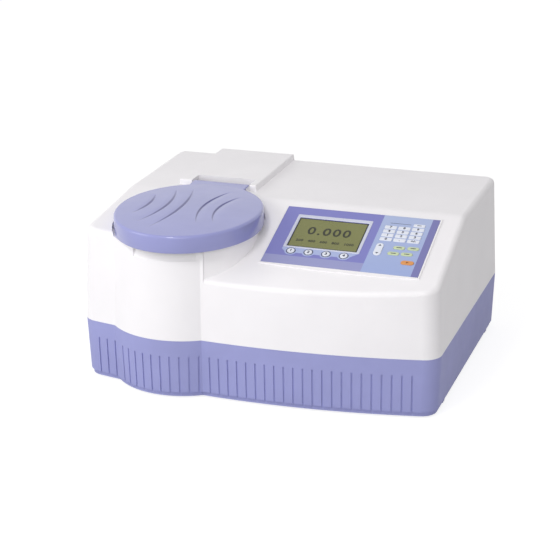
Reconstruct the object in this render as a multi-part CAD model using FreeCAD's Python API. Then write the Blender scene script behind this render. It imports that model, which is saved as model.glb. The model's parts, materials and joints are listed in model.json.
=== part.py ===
"""Benchtop UV-visible spectrophotometer with a round sample lid, a sloped control
deck and a ribbed base. Millimetres, +Z up, +Y towards the back, +X to the user's right.
The origin is on the table, under the middle of the instrument's box."""
import FreeCAD
import Part
import math
import os

V = FreeCAD.Vector
UP = V(0, 0, 1)
ALONG_X = V(1, 0, 0)
ALONG_Y = V(0, 1, 0)

# Case: plan sizes at the seam between the white cover and the base, where it is widest
case_width = 540.0
case_depth = 394.0
front_bow = 32.0
front_corner_radius = 26.0
back_corner_radius = 15.0
wall = 3.5
cut_over = 1.0
foot_height = 3.0
strip_height = 7.0
strip_inset = 3.0
base_height = 88.0
cover_height = 156.0
base_draft = 1.96
cover_draft = 2.24

# Control deck: the slope starts at the front wall and breaks into the flat top
deck_front_height = 98.7
deck_angle = 18.04
deck_break_radius = 35.0
deck_edge_round = 8.0

# Left shoulder beside the lid, which falls gently towards the front
shoulder_drop = 15.8
shoulder_break_radius = 60.0
shoulder_edge_round = 9.0

# Round front bulge that holds the sample compartment
bulge_radius = 114.0
bulge_offset_x = -131.0
bulge_setback = 67.0
bulge_blend = 9.0
blend_sink = 0.04
scoop_depth = 5.0
scoop_height = 17.5
scoop_start = -110.5
scoop_end = -60.0

# Sample lid: an oval cap with a hinge tongue
lid_half_width = 107.5
lid_half_length = 121.7
lid_offset_x = -123.8
lid_reach = 53.0
lid_height = 25.5
lid_crown = 3.2
lid_wall = 3.0
lid_edge_round = 5.0
lid_tilt = 1.2
lid_gap = 0.3
lid_side_gap = 3.0
lid_floor_height = 136.6
flute_depth = 1.7
flute_width = 12.0
# Each flute: apex to the right of the lid's middle, apex behind it, bend radius, half length
left_flutes = ((-62.0, 5.0, 105.0, 39.0), (-33.5, 6.0, 174.0, 68.0), (-9.8, 2.0, 250.0, 80.0))
right_flutes = ((17.3, 16.0, 176.0, 68.0), (41.2, 9.0, 127.0, 54.0))

# Hinge behind the lid
tongue_width = 89.0
tongue_length = 15.6
tongue_thickness = 4.2
tongue_round = 1.4
tongue_side_gap = 2.5
hinge_setback = 7.0
hinge_drop = 10.6
hinge_pin_radius = 3.0
hinge_pin_overhang = 1.0
knuckle_radius = 6.6
knuckle_length = 15.0
knuckle_offset = 25.0
hinge_fit = 0.05
hinge_side_gap = 0.4
ear_radius = 5.6
ear_width = 6.6
bracket_front = 5.5
bracket_back = 12.0
bracket_plate = 2.0
knuckle_web_back = 3.3
tongue_sink = 21.0
recess_length = 39.6
seal_width = 6.0
seal_height = 5.0
seal_gap = 0.2

# Raised panel behind the lid
riser_height = 9.0
riser_width = 123.0
riser_center_x = -128.5
riser_side_slope = 3.0
riser_front = 200.0
riser_back_margin = 9.0
riser_round = 1.8

# Sample compartment and cell carousel
well_width = 122.0
well_length = 136.0
well_corner = 12.0
well_wall = 2.5
well_depth = 104.0
well_clearance = 0.3
cell_beam_height = 15.0
window_radius = 9.0
window_thickness = 2.0
beam_offset_y = 33.0
cell_count = 6
cell_size = 12.8
cell_radius = 33.0
carousel_radius = 46.0
carousel_floor = 4.0
carousel_height = 34.0
carousel_knob_radius = 8.0
carousel_knob_height = 22.0
carousel_knob_round = 1.5
carousel_gap = 1.2
cell_window_width = 6.0
cell_window_height = 12.0
well_leg_radius = 5.0
well_leg_inset = 10.0
well_shift = 2.0
well_cut_rise = 30.0

# Control panel: places are measured from the case's middle and up the slope
panel_left = 0.5
panel_right = 231.0
panel_low = 28.6
panel_high = 166.4
panel_thickness = 1.6
panel_clearance = 0.3
panel_rim = 2.6
panel_ledge = 5.0
panel_crescent = 4.2
key_clearance = 0.25
key_rise = 0.9
key_travel = 0.5
key_stem = 1.4
key_corner = 1.4
board_gap = 0.3
board_thickness = 1.6
key_switch_size = 5.0
key_switch_gap = 0.1

# Display
screen_left = 26.4
screen_right = 131.0
screen_low = 71.0
screen_high = 141.4
screen_recess = 1.0
screen_thickness = 5.0
bezel_side = 4.6
bezel_top = 7.0
bezel_low = 3.0
bezel_rise = 0.7

# Soft keys under the display, number pad, arrow key and function keys
soft_key_radius = 5.6
soft_key_first_x = 36.4
soft_key_pitch = 26.3
soft_key_s = 59.8
pad_first_x = 164.3
pad_pitch_x = 20.2
pad_first_s = 137.6
pad_pitch_s = 9.65
pad_key_width = 17.8
pad_key_length = 7.4
clear_key_x = 204.3
clear_key_s = 147.2
clear_key_width = 17.0
clear_key_length = 6.6
arrow_key_x = 160.0
arrow_key_s = 83.4
arrow_key_width = 11.0
arrow_key_length = 29.0
function_key_places = ((188.5, 91.0), (208.9, 92.0), (183.6, 76.8), (203.0, 77.6))
function_key_width = 17.0
function_key_length = 7.2
start_key_x = 208.6
start_key_s = 58.6
start_key_width = 19.0
start_key_length = 9.0

# Ribs round the base's front
rib_pitch = 14.0
rib_width = 2.4
rib_depth = 1.7
rib_low = 6.0
rib_high = 63.0
rib_left_count = 3
rib_bulge_count = 10
rib_right_count = 22
rib_left_first = -242.3
rib_right_first = -59.0
rib_bulge_first = -125.0
rib_bulge_step = 7.2

# Fasteners and feet
foot_radius = 13.0
foot_places = ((-205.0, -95.0), (205.0, -125.0), (-205.0, 185.0), (205.0, 185.0))
post_radius = 6.5
post_inset = 9.0
post_front_y = -110.0
post_back_y = 175.0
boss_height = 34.0
screw_radius = 2.0
screw_head_radius = 3.8
screw_head_height = 3.0
screw_seat = 8.0
screw_bite = 20.0
screw_cross_length = 4.4
screw_cross_width = 1.2
screw_cross_depth = 1.5
screw_hole_gap = 0.3
foot_taper = 1.2

# Rear panel and what it carries
rear_left = -70.0
rear_right = 215.0
rear_low = 11.0
rear_high = 82.0
rear_thickness = 2.0
rear_setback = 3.6
rear_clearance = 0.3
back_cut_in = 25.0
back_cut_out = 10.0
fan_x = -32.0
fan_z = 48.0
fan_size = 60.0
fan_depth = 20.0
fan_bore = 28.0
fan_hub_radius = 12.0
fan_tip_gap = 1.0
fan_blades = 7
fan_blade_angle = 32.0
fan_shaft_radius = 2.0
fan_shaft_length = 16.0
fan_shaft_fit = 0.05
fan_shaft_play = 0.2
fan_plate = 3.0
fan_arm_width = 4.0
fan_arm_turn = 30.0
fan_blade_width = 12.0
fan_blade_thickness = 1.2
fan_front_gap = 2.0
fan_back_gap = 1.0
grille_rings = 4
grille_slot = 3.2
grille_spoke = 3.0
inlet_x = 178.0
inlet_z = 47.0
inlet_width = 48.0
inlet_height = 58.0
inlet_flange = 2.5
inlet_body_depth = 26.0
inlet_socket_width = 24.0
inlet_socket_height = 16.4
inlet_socket_depth = 16.0
inlet_blade_width = 2.0
inlet_blade_height = 4.0
inlet_blade_length = 10.0
inlet_blade_spread = 7.0
inlet_blade_stagger = 2.0
inlet_margin = 8.0
switch_width = 13.0
switch_height = 19.0
switch_drop = 17.0
switch_depth = 12.0
rocker_gap = 0.4
rocker_end_gap = 1.2
rocker_axis_depth = 4.0
rocker_depth = 4.0
rocker_taper = 2.5
rocker_height = 3.2
rocker_lip = 0.7
rocker_dish = 1.6
rocker_throw = 24.0
rocker_pin_radius = 1.5
rocker_pin_reach = 2.0
rocker_pin_play = 0.5
port_places = ((52.0, 47.0, 53.0), (112.0, 47.0, 31.0))
port_height = 12.5
port_reach = 1.6
port_depth = 12.0
port_corner = 3.0
port_shell = 1.2
port_hollow = 4.0
port_tongue_inset = 2.6
port_tongue_drop = 0.4

# Cooling louvres in the cover's back wall, behind the lamps
louvre_count = 14
louvre_pitch = 9.0
louvre_width = 4.0
louvre_height = 34.0
louvre_low = 72.0
louvre_center_x = 35.0

# Optical bench and what stands on it
bench_thickness = 8.0
bench_height = 62.0
bench_side_gap = 21.5
bench_board_gap = 7.0
bench_front_run = 83.2
bench_back_gap = 33.5
bench_leg_radius = 8.0
bench_corner = 14.0
mono_left = -42.0
mono_bench_margin = 15.0
mono_front_run = 33.2
mono_back_gap = 14.0
mono_rise = 27.0
mono_wall = 5.0
mono_corner = 8.0
mono_slot = 10.0
mirror_radius = 22.0
mirror_thickness = 8.0
mirror_curve = 160.0
mirror_dish = 1.5
mirror_stand = 10.0
grating_size = 30.0
grating_thickness = 8.0
grating_table_radius = 17.0
grating_table_thickness = 6.0
motor_size = 35.0
motor_height = 26.0
motor_shaft_radius = 2.5
motor_boss_radius = 11.0
motor_boss_height = 2.0
motor_corner = 4.0
motor_bore_floor = 8.0
shaft_fit = 0.05
grating_gap = 1.0
slit_size = 26.0
slit_thickness = 1.2
slit_width = 2.0
slit_height = 12.0
filter_wheel_radius = 32.0
filter_wheel_thickness = 4.0
filter_hole_radius = 5.5
filter_hole_count = 6
filter_ring = 24.0
filter_lead = 24.0
filter_motor_length = 15.0
source_x = 35.0
lamp_left = -20.0
lamp_right = 90.0
lamp_length = 84.0
lamp_back_gap = 6.0
lamp_house_rise = 31.0
lamp_wall = 3.0
lamp_slot_count = 5
lamp_slot_pitch = 20.0
lamp_slot_width = 6.0
lamp_slot_low = 40.0
lamp_slot_margin = 15.0
bulb_radius = 15.0
bulb_height = 50.0
bulb_base_radius = 18.0
bulb_base_height = 14.0
halogen_radius = 6.0
halogen_height = 26.0
flip_mirror_size = 20.0
flip_mirror_thickness = 3.0
flip_collar_radius = 5.0
flip_collar_height = 4.0
source_setback = 39.0
lamp_spread = 33.0
detector_width = 38.0
detector_length = 60.0
detector_gap = 1.0
detector_rise = 25.0
detector_corner = 3.0
detector_hole_depth = 10.0

# Electronics
board_side_gap = 12.5
supply_width = 76.0
supply_front = 20.0
supply_back = 150.0
supply_lift = 6.0
transformer_width = 38.0
transformer_length = 40.0
transformer_height = 34.0
capacitor_count = 3
capacitor_pitch = 22.0
capacitor_radius = 9.0
capacitor_height = 28.0
sink_fin_count = 6
sink_fin_pitch = 10.0
sink_fin_thickness = 3.0
sink_fin_length = 20.0
sink_height = 30.0
main_board_width = 82.0
main_board_front = -140.0
main_board_back = 10.0
main_board_lift = 8.0
chip_count = 3
chip_pitch = 42.0
chip_size = 24.0
chip_height = 3.0
plug_width = 8.0
plug_length = 30.0
plug_height = 9.0
board_margin = 12.0
board_post_radius = 3.5
board_post_inset = 5.0

# Places worked out from the driving sizes
corner_y = (lid_reach - case_depth) / 2
back_y = corner_y + case_depth
floor_z = foot_height + wall
seam_z = foot_height + base_height
top_z = seam_z + cover_height
deck_z = seam_z + deck_front_height
bow_radius = ((case_width / 2) ** 2 + front_bow ** 2) / (2 * front_bow)
bow_center_y = corner_y - front_bow + bow_radius
bulge_y = corner_y + bulge_setback
lid_y = corner_y - lid_reach + lid_half_length
lid_floor_z = seam_z + lid_floor_height
lid_base_z = lid_floor_z + lid_gap
lid_top_z = lid_base_z + lid_height
hinge_run = lid_half_length + hinge_setback
hinge_lift = lid_height - hinge_drop
tilt_sin = math.sin(math.radians(lid_tilt))
tilt_cos = math.cos(math.radians(lid_tilt))
hinge_y = lid_y + hinge_run * tilt_cos - hinge_lift * tilt_sin
hinge_z = lid_base_z + hinge_run * tilt_sin + hinge_lift * tilt_cos
split_x = riser_center_x + riser_width / 2
deck_rise = math.tan(math.radians(deck_angle))
deck_break_y = corner_y + (top_z - deck_z) / deck_rise
bench_z = foot_height + bench_height
main_board_right = case_width / 2 - wall - board_side_gap
main_board_left = main_board_right - main_board_width
supply_right = main_board_right
supply_left = supply_right - supply_width
bench_left = -case_width / 2 + wall + bench_side_gap
bench_right = main_board_left - bench_board_gap
mono_right = bench_right - mono_bench_margin
well_x = lid_offset_x
well_y = lid_y + well_shift
well_floor_z = lid_floor_z - well_depth
beam_y = well_y + beam_offset_y
beam_height = well_floor_z + well_wall + carousel_gap + carousel_floor + cell_beam_height
bench_front = beam_y - bench_front_run
bench_back = back_y - bench_back_gap
lamp_back = bench_back - lamp_back_gap
lamp_front = lamp_back - lamp_length
source_y = lamp_back - source_setback
filter_wheel_y = lamp_front - filter_lead
mono_front = beam_y - mono_front_run
mono_back = filter_wheel_y - mono_back_gap
key_level = panel_thickness
PARTS = "parts"


def box(x0, x1, y0, y1, z0, z1):
    return Part.makeBox(x1 - x0, y1 - y0, z1 - z0, V(x0, y0, z0))


def rod(x, y, z, radius, height, along=UP):
    return Part.makeCylinder(radius, height, V(x, y, z), along)


def joined(shapes):
    result = shapes[0]
    for shape in shapes[1:]:
        result = result.fuse(shape)
    return result.removeSplitter()


def rounded_face(x0, x1, y0, y1, radius):
    """A flat rectangle with round corners, in the XY plane."""
    corners = ((x1 - radius, y0 + radius, -45), (x1 - radius, y1 - radius, 45),
               (x0 + radius, y1 - radius, 135), (x0 + radius, y0 + radius, 225))
    arcs = []
    for cx, cy, middle in corners:
        points = []
        for turn in (-45, 0, 45):
            angle = math.radians(middle + turn)
            points.append(V(cx + radius * math.cos(angle), cy + radius * math.sin(angle), 0))
        arcs.append(Part.Arc(*points).toShape())
    edges = []
    for index, arc in enumerate(arcs):
        start = arcs[index - 1].Vertexes[-1].Point
        end = arc.Vertexes[0].Point
        if start.distanceToPoint(end) > 1e-6:
            edges.append(Part.makeLine(start, end))
        edges.append(arc)
    return Part.Face(Part.Wire(edges))


def rounded_block(x0, x1, y0, y1, z0, z1, radius):
    face = rounded_face(x0, x1, y0, y1, radius)
    face.translate(V(0, 0, z0))
    return face.extrude(V(0, 0, z1 - z0))


def oval_block(x, y, half_x, half_y, z0, z1):
    """An upright oval column, longest along Y."""
    center = V(x, y, z0)
    edge = Part.Ellipse(center, half_y, half_x).toShape()
    edge.rotate(center, UP, 90)
    return Part.Face(Part.Wire(edge)).extrude(V(0, 0, z1 - z0))


def arc_point(cx, cy, radius, angle):
    return V(cx + radius * math.cos(angle), cy + radius * math.sin(angle), 0)


def case_outline(inset, shell, z):
    """The bowed plan of the case at one level; corner radii follow the shell only."""
    half = case_width / 2 - inset
    bow = bow_radius - inset
    front = front_corner_radius - shell
    back = back_corner_radius - shell
    back_line = back_y - inset
    front_cx = half - front
    front_cy = bow_center_y - math.sqrt((bow - front) ** 2 - front_cx ** 2)
    lean = math.atan2(front_cy - bow_center_y, front_cx)
    down = -math.pi / 2
    right_front = arc_point(0, bow_center_y, bow, lean)
    left_front = V(-right_front.x, right_front.y, 0)
    edges = [Part.Arc(left_front, arc_point(0, bow_center_y, bow, down), right_front).toShape()]
    middle = arc_point(front_cx, front_cy, front, lean / 2)
    edges.append(Part.Arc(right_front, middle, V(half, front_cy, 0)).toShape())
    back_cy = back_line - back
    back_cx = half - back
    edges.append(Part.makeLine(V(half, front_cy, 0), V(half, back_cy, 0)))
    middle = arc_point(back_cx, back_cy, back, math.pi / 4)
    edges.append(Part.Arc(V(half, back_cy, 0), middle, V(back_cx, back_line, 0)).toShape())
    edges.append(Part.makeLine(V(back_cx, back_line, 0), V(-back_cx, back_line, 0)))
    middle = arc_point(-back_cx, back_cy, back, math.pi * 3 / 4)
    edges.append(Part.Arc(V(-back_cx, back_line, 0), middle, V(-half, back_cy, 0)).toShape())
    edges.append(Part.makeLine(V(-half, back_cy, 0), V(-half, front_cy, 0)))
    middle = arc_point(-front_cx, front_cy, front, math.pi - lean / 2)
    edges.append(Part.Arc(V(-half, front_cy, 0), middle, left_front).toShape())
    wire = Part.Wire(edges)
    wire.translate(V(0, 0, z))
    return wire


def drafted_case(z0, z1, draft, shell):
    """The case between two levels, drawn in from the seam by its draft."""
    rise = math.tan(math.radians(draft))
    low = case_outline(shell + abs(z0 - seam_z) * rise, shell, z0)
    high = case_outline(shell + abs(z1 - seam_z) * rise, shell, z1)
    return Part.makeLoft([low, high], True, True)


def drafted_bulge(z0, z1, draft, shell):
    rise = math.tan(math.radians(draft))
    low = bulge_radius - shell - abs(z0 - seam_z) * rise
    high = bulge_radius - shell - abs(z1 - seam_z) * rise
    return Part.makeCone(low, high, z1 - z0, V(bulge_offset_x, bulge_y, z0))


def side_profile(x0, x1, front_z, break_y, flat_z, radius, bottom_z):
    """A slab below a top that rises from the front and then runs flat to the back."""
    reach = case_width
    front_y = corner_y - reach
    slope = (flat_z - front_z) / (break_y - corner_y)
    half_turn = math.atan(slope) / 2
    run = radius * math.tan(half_turn)
    low_end = V(x0, break_y - run * math.cos(2 * half_turn), flat_z - run * math.sin(2 * half_turn))
    high_end = V(x0, break_y + run, flat_z)
    center_z = flat_z - radius
    middle = V(x0, high_end.y - radius * math.sin(half_turn), center_z + radius * math.cos(half_turn))
    start = V(x0, front_y, front_z - slope * reach)
    corner = V(x0, back_y + reach, flat_z)
    below = V(x0, back_y + reach, bottom_z - reach)
    under = V(x0, front_y, bottom_z - reach)
    edges = [Part.makeLine(start, low_end), Part.Arc(low_end, middle, high_end).toShape(),
             Part.makeLine(high_end, corner), Part.makeLine(corner, below),
             Part.makeLine(below, under), Part.makeLine(under, start)]
    return Part.Face(Part.Wire(edges)).extrude(V(x1 - x0, 0, 0))


def rim_edges(shape, keep_x):
    """Edges between a top face and a wall, apart from the cut plane at keep_x."""
    chosen = []
    for edge in shape.Edges:
        faces = shape.ancestorsOfType(edge, Part.Face)
        if len(faces) != 2:
            continue
        lifts = []
        for face in faces:
            low_u, high_u, low_v, high_v = face.ParameterRange
            lifts.append(face.normalAt((low_u + high_u) / 2, (low_v + high_v) / 2).z)
        on_cut = all(abs(v.Point.x - keep_x) < 0.01 for v in edge.Vertexes)
        if max(lifts) > 0.8 and min(lifts) < 0.3 and min(lifts) > -0.5 and not on_cut:
            chosen.append(edge)
    return chosen


def lid_plane_placement():
    """Tilts what is drawn level about the lid's middle, at the lid's base level."""
    turn = FreeCAD.Rotation(ALONG_X, lid_tilt)
    return FreeCAD.Placement(V(), turn, V(0, lid_y, lid_base_z))


def above_lid_floor(drop):
    """Everything above the floor that the lid closes on, which leans with the lid."""
    slab = box(-case_width, case_width, -case_width, case_width, lid_floor_z - drop, top_z * 2)
    slab.Placement = lid_plane_placement()
    return slab


def lid_pocket(shell):
    """What the lid needs free above the cover, grown by shell for the inner face."""
    grow = lid_side_gap + shell
    low = lid_floor_z - shell
    pocket = oval_block(lid_offset_x, lid_y, lid_half_width + grow, lid_half_length + grow,
                        low, low + case_width)
    half = tongue_width / 2 + tongue_side_gap + shell
    recess_back = lid_y + lid_half_length + recess_length + shell
    recess = box(lid_offset_x - half, lid_offset_x + half, lid_y, recess_back,
                 low, low + case_width)
    whole = pocket.fuse(recess)
    whole.Placement = lid_plane_placement()
    return whole


def finger_scoop(shell):
    """A shallow hollow in the bulge's front, for the fingers that lift the lid."""
    top = lid_floor_z + 40.0
    outer = bulge_radius + 20.0
    drawn_in = bulge_radius - (lid_floor_height * math.tan(math.radians(cover_draft)))
    inner = drawn_in - scoop_depth - shell
    low = lid_floor_z - scoop_height - shell
    points = [V(inner, 0, top), V(inner, 0, lid_floor_z), V(drawn_in - shell, 0, low),
              V(outer, 0, low), V(outer, 0, top), V(inner, 0, top)]
    face = Part.Face(Part.makePolygon(points))
    extra = math.degrees(shell / bulge_radius)
    ring = face.revolve(V(), UP, scoop_end - scoop_start + 2 * extra)
    turn = FreeCAD.Rotation(UP, scoop_start - extra)
    ring.Placement = FreeCAD.Placement(V(bulge_offset_x, bulge_y, 0), turn)
    return ring


def cover_form(shell):
    """The cover's outer form, or its inner one when shell is the wall."""
    low = seam_z - (0.0 if shell == 0 else 5.0)
    block = drafted_case(seam_z, top_z + 14.0, cover_draft, shell)
    if shell > 0:
        block = block.fuse(drafted_case(low, seam_z, 0.0, shell))
    lean = math.cos(math.radians(deck_angle))
    right = block.common(side_profile(split_x, case_width, deck_z - shell / lean, deck_break_y,
                                      top_z - shell, deck_break_radius, low))
    left = block.common(side_profile(-case_width, split_x, top_z - shoulder_drop - shell,
                                     deck_break_y, top_z - shell, shoulder_break_radius, low))
    right = right.makeFillet(deck_edge_round - shell, rim_edges(right, split_x))
    left = left.makeFillet(shoulder_edge_round - shell, rim_edges(left, split_x))
    bulge = drafted_bulge(low, lid_floor_z + 12.0, cover_draft, shell)
    bulge = bulge.cut(above_lid_floor(shell))
    body = joined([left, right])
    body = body.cut(lid_pocket(shell))
    return body.fuse(bulge).removeSplitter().cut(finger_scoop(shell))


def riser(shell):
    """The raised panel that carries on the lid's level to the back."""
    half = riser_width / 2 - shell
    foot = half + riser_side_slope
    y0 = corner_y + riser_front + shell
    y1 = back_y - riser_back_margin - shell
    z0 = top_z - 12.0
    z1 = top_z + riser_height - shell
    points = [V(riser_center_x - foot, y0, z0), V(riser_center_x + foot, y0, z0),
              V(riser_center_x + half, y0, z1), V(riser_center_x - half, y0, z1),
              V(riser_center_x - foot, y0, z0)]
    body = Part.Face(Part.makePolygon(points)).extrude(V(0, y1 - y0, 0))
    if shell > 0:
        return body
    edges = [e for e in body.Edges if min(v.Point.z for v in e.Vertexes) > z0 + 1.0]
    return body.makeFillet(riser_round, edges)


def blend_outline(inset, z):
    """Plan of the soft corner where the front wall runs into the bulge's left side."""
    bow_center = V(0, bow_center_y, 0)
    bulge_center = V(bulge_offset_x, bulge_y, 0)
    bow = bow_radius - inset
    bulge = bulge_radius - inset
    bow_reach = bow + bulge_blend
    bulge_reach = bulge + bulge_blend
    gap = bow_center.distanceToPoint(bulge_center)
    along = (bow_reach ** 2 - bulge_reach ** 2 + gap ** 2) / (2 * gap)
    aside = math.sqrt(bow_reach ** 2 - along ** 2)
    unit = (bulge_center - bow_center) / gap
    center = bow_center + unit * along - V(-unit.y, unit.x, 0) * aside
    if center.x > bulge_offset_x:
        center = bow_center + unit * along + V(-unit.y, unit.x, 0) * aside
    on_bow = bow_center + (center - bow_center) * ((bow - blend_sink) / bow_reach)
    on_bulge = bulge_center + (center - bulge_center) * ((bulge - blend_sink) / bulge_reach)
    inward = ((on_bow + on_bulge) / 2 - center).normalize()
    deep = center + inward * bulge_blend * 2.5
    edges = [Part.Arc(on_bow, center + inward * bulge_blend, on_bulge).toShape(),
             Part.makeLine(on_bulge, deep), Part.makeLine(deep, on_bow)]
    wire = Part.Wire(edges)
    wire.translate(V(0, 0, z))
    return wire


def corner_blend(z0, z1, draft, extra):
    rise = math.tan(math.radians(draft))
    wires = [blend_outline(extra + abs(z - seam_z) * rise, z) for z in (z0, z1)]
    return Part.makeLoft(wires, True, True)


def deck_placement():
    """The sloped deck's own frame: X to the right, Y up the slope, Z out of it."""
    return FreeCAD.Placement(V(0, corner_y, deck_z), FreeCAD.Rotation(ALONG_X, deck_angle))


def on_deck(shape):
    placed = shape.copy()
    placed.Placement = deck_placement()
    return placed


def panel_plinth():
    """The low pad that frames the control panel, with a crescent lower edge."""
    x0 = panel_left - panel_rim
    x1 = panel_right + panel_rim
    s0 = panel_low - panel_rim
    s1 = panel_high + panel_rim
    bow = V((x0 + x1) / 2, s0 - panel_crescent, 0)
    edges = [Part.Arc(V(x0, s0, 0), bow, V(x1, s0, 0)).toShape(),
             Part.makeLine(V(x1, s0, 0), V(x1, s1, 0)),
             Part.makeLine(V(x1, s1, 0), V(x0, s1, 0)),
             Part.makeLine(V(x0, s1, 0), V(x0, s0, 0))]
    face = Part.Face(Part.Wire(edges))
    face.translate(V(0, 0, -1.0))
    return on_deck(face.extrude(V(0, 0, 1.0 + panel_thickness)))


def panel_hole():
    gap = panel_clearance
    seat = box(panel_left - gap, panel_right + gap, panel_low - gap, panel_high + gap,
               0, panel_thickness + 5.0)
    through = box(panel_left + panel_ledge, panel_right - panel_ledge, panel_low + panel_ledge,
                  panel_high - panel_ledge, -wall * 3, 1.0)
    return on_deck(seat.fuse(through))


def well_hole(gap, z0, z1):
    return rounded_block(well_x - well_width / 2 - gap, well_x + well_width / 2 + gap,
                         well_y - well_length / 2 - gap, well_y + well_length / 2 + gap,
                         z0, z1, well_corner)


def post_places():
    side = case_width / 2 - post_inset
    return [(x, y) for x in (-side, side) for y in (post_front_y, post_back_y)]


def louvres():
    slots = []
    first = louvre_center_x - louvre_pitch * (louvre_count - 1) / 2
    for index in range(louvre_count):
        x = first + index * louvre_pitch
        z0 = seam_z + louvre_low
        slots.append(box(x - louvre_width / 2, x + louvre_width / 2, back_y - back_cut_in,
                         back_y + back_cut_out, z0, z0 + louvre_height))
    return Part.makeCompound(slots)


def upper_cover():
    outer = cover_form(0.0)
    blend = corner_blend(seam_z, lid_floor_z + 5.0, cover_draft, 0.0)
    outer = outer.fuse(blend.cut(above_lid_floor(0.0)))
    outer = outer.fuse(riser(0.0).cut(lid_pocket(0.0))).removeSplitter()
    inner = cover_form(wall)
    inner = inner.fuse(riser(wall).cut(lid_pocket(wall)))
    cover = outer.cut(inner)
    bosses = []
    for x, y in post_places():
        boss = rod(x, y, seam_z, post_radius, boss_height).common(outer)
        bosses.append(boss.cut(rod(x, y, seam_z - cut_over, screw_radius, screw_bite + cut_over)))
    cover = joined([cover] + bosses)
    cover = cover.fuse(panel_plinth()).cut(panel_hole())
    cover = cover.cut(well_hole(0.0, well_floor_z, lid_floor_z + well_cut_rise))
    return cover.cut(louvres())


def rib_groove(x, y, outward):
    """One upright groove, leaning with the base's drafted wall."""
    length = rib_high - rib_low
    groove = box(-rib_depth, 4.0, -rib_width / 2, rib_width / 2, -length, 0.0)
    lean = FreeCAD.Rotation(ALONG_Y, base_draft)
    turn = FreeCAD.Rotation(UP, outward)
    groove.Placement = FreeCAD.Placement(V(), lean)
    drawn_in = (base_height - rib_high) * math.tan(math.radians(base_draft))
    shift = V(x - drawn_in * math.cos(math.radians(outward)),
              y - drawn_in * math.sin(math.radians(outward)), foot_height + rib_high)
    groove.Placement = FreeCAD.Placement(shift, turn).multiply(groove.Placement)
    return groove


def front_wall_rib(x):
    angle = math.asin(x / bow_radius)
    y = bow_center_y - bow_radius * math.cos(angle)
    return rib_groove(x, y, math.degrees(angle) - 90.0)


def ribs():
    grooves = []
    for index in range(rib_left_count):
        grooves.append(front_wall_rib(rib_left_first + index * rib_pitch))
    for index in range(rib_right_count):
        grooves.append(front_wall_rib(rib_right_first + index * rib_pitch))
    for index in range(rib_bulge_count):
        angle = rib_bulge_first + index * rib_bulge_step
        x = bulge_offset_x + bulge_radius * math.cos(math.radians(angle))
        y = bulge_y + bulge_radius * math.sin(math.radians(angle))
        grooves.append(rib_groove(x, y, angle))
    return Part.makeCompound(grooves)


def base_form(shell, z0, extra):
    """The base's form from z0 up to the seam, drawn in by extra below the strip."""
    inset = shell + extra
    block = drafted_case(z0, seam_z, base_draft, inset)
    block = block.fuse(drafted_bulge(z0, seam_z, base_draft, inset))
    if shell == 0:
        block = block.fuse(corner_blend(z0, seam_z, base_draft, inset))
    return block.removeSplitter()


def rear_opening():
    return box(rear_left, rear_right, back_y - back_cut_in, back_y + back_cut_out,
               foot_height + rear_low, foot_height + rear_high)


def base_case():
    strip_z = foot_height + strip_height
    outer = base_form(0.0, strip_z, 0.0)
    strip = base_form(0.0, foot_height, strip_inset)
    strip = strip.cut(box(-case_width, case_width, -case_width, case_width, strip_z, seam_z * 2))
    outer = outer.cut(ribs()).fuse(strip)
    inner = base_form(wall, floor_z, strip_inset - 1.0)
    tray = outer.cut(inner)
    solid = base_form(0.0, foot_height, strip_inset - 1.0)
    posts = []
    for x, y in post_places():
        post = rod(x, y, foot_height, post_radius, base_height).common(solid)
        posts.append(post)
    tray = joined([tray] + posts)
    for x, y in post_places():
        tray = tray.cut(rod(x, y, 0.0, screw_head_radius + screw_hole_gap, seam_z - screw_seat))
        tray = tray.cut(rod(x, y, 0.0, screw_radius + screw_hole_gap, seam_z + cut_over))
    return tray.cut(rear_opening())


def cover_screws():
    screws = []
    thin = screw_cross_width / 2
    wide = screw_cross_length / 2
    for x, y in post_places():
        head_z = seam_z - screw_seat - screw_head_height
        head = rod(x, y, head_z, screw_head_radius, screw_head_height)
        cross = box(x - thin, x + thin, y - wide, y + wide, head_z, head_z + screw_cross_depth)
        cross = cross.fuse(box(x - wide, x + wide, y - thin, y + thin, head_z,
                               head_z + screw_cross_depth))
        shank = rod(x, y, seam_z - screw_seat, screw_radius, screw_seat + screw_bite - cut_over)
        screws.append(head.fuse(shank).cut(cross))
    return Part.makeCompound(screws)


def rubber_feet():
    feet = []
    for x, y in foot_places:
        foot = Part.makeCone(foot_radius - foot_taper, foot_radius, foot_height, V(x, y, 0))
        feet.append(foot)
    return Part.makeCompound(feet)


def lid_placed(shape):
    placed = shape.copy()
    placed.Placement = lid_plane_placement()
    return placed


def dome_radius():
    return (lid_half_length ** 2 + lid_crown ** 2) / (2 * lid_crown)


def flute(side, apex_x, apex_y, bend, half_length):
    """A crescent hollow in the lid's top, deep at its outer bend and fading inwards."""
    fall = (apex_x ** 2 + apex_y ** 2) / (2 * dome_radius())
    level = lid_top_z + lid_crown - fall - flute_depth
    center_x = lid_offset_x + apex_x - side * bend
    points = [V(bend, 0, level), V(bend, 0, level + flute_depth * 4),
              V(bend - flute_width, 0, level + flute_depth * 4),
              V(bend - flute_width, 0, level + flute_depth), V(bend, 0, level)]
    sweep = 2 * math.degrees(math.asin(half_length / bend))
    ring = Part.Face(Part.makePolygon(points)).revolve(V(), UP, sweep)
    facing = 0.0 if side > 0 else 180.0
    turn = FreeCAD.Rotation(UP, facing - sweep / 2)
    ring.Placement = FreeCAD.Placement(V(center_x, lid_y + apex_y, 0), turn)
    return ring


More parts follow.
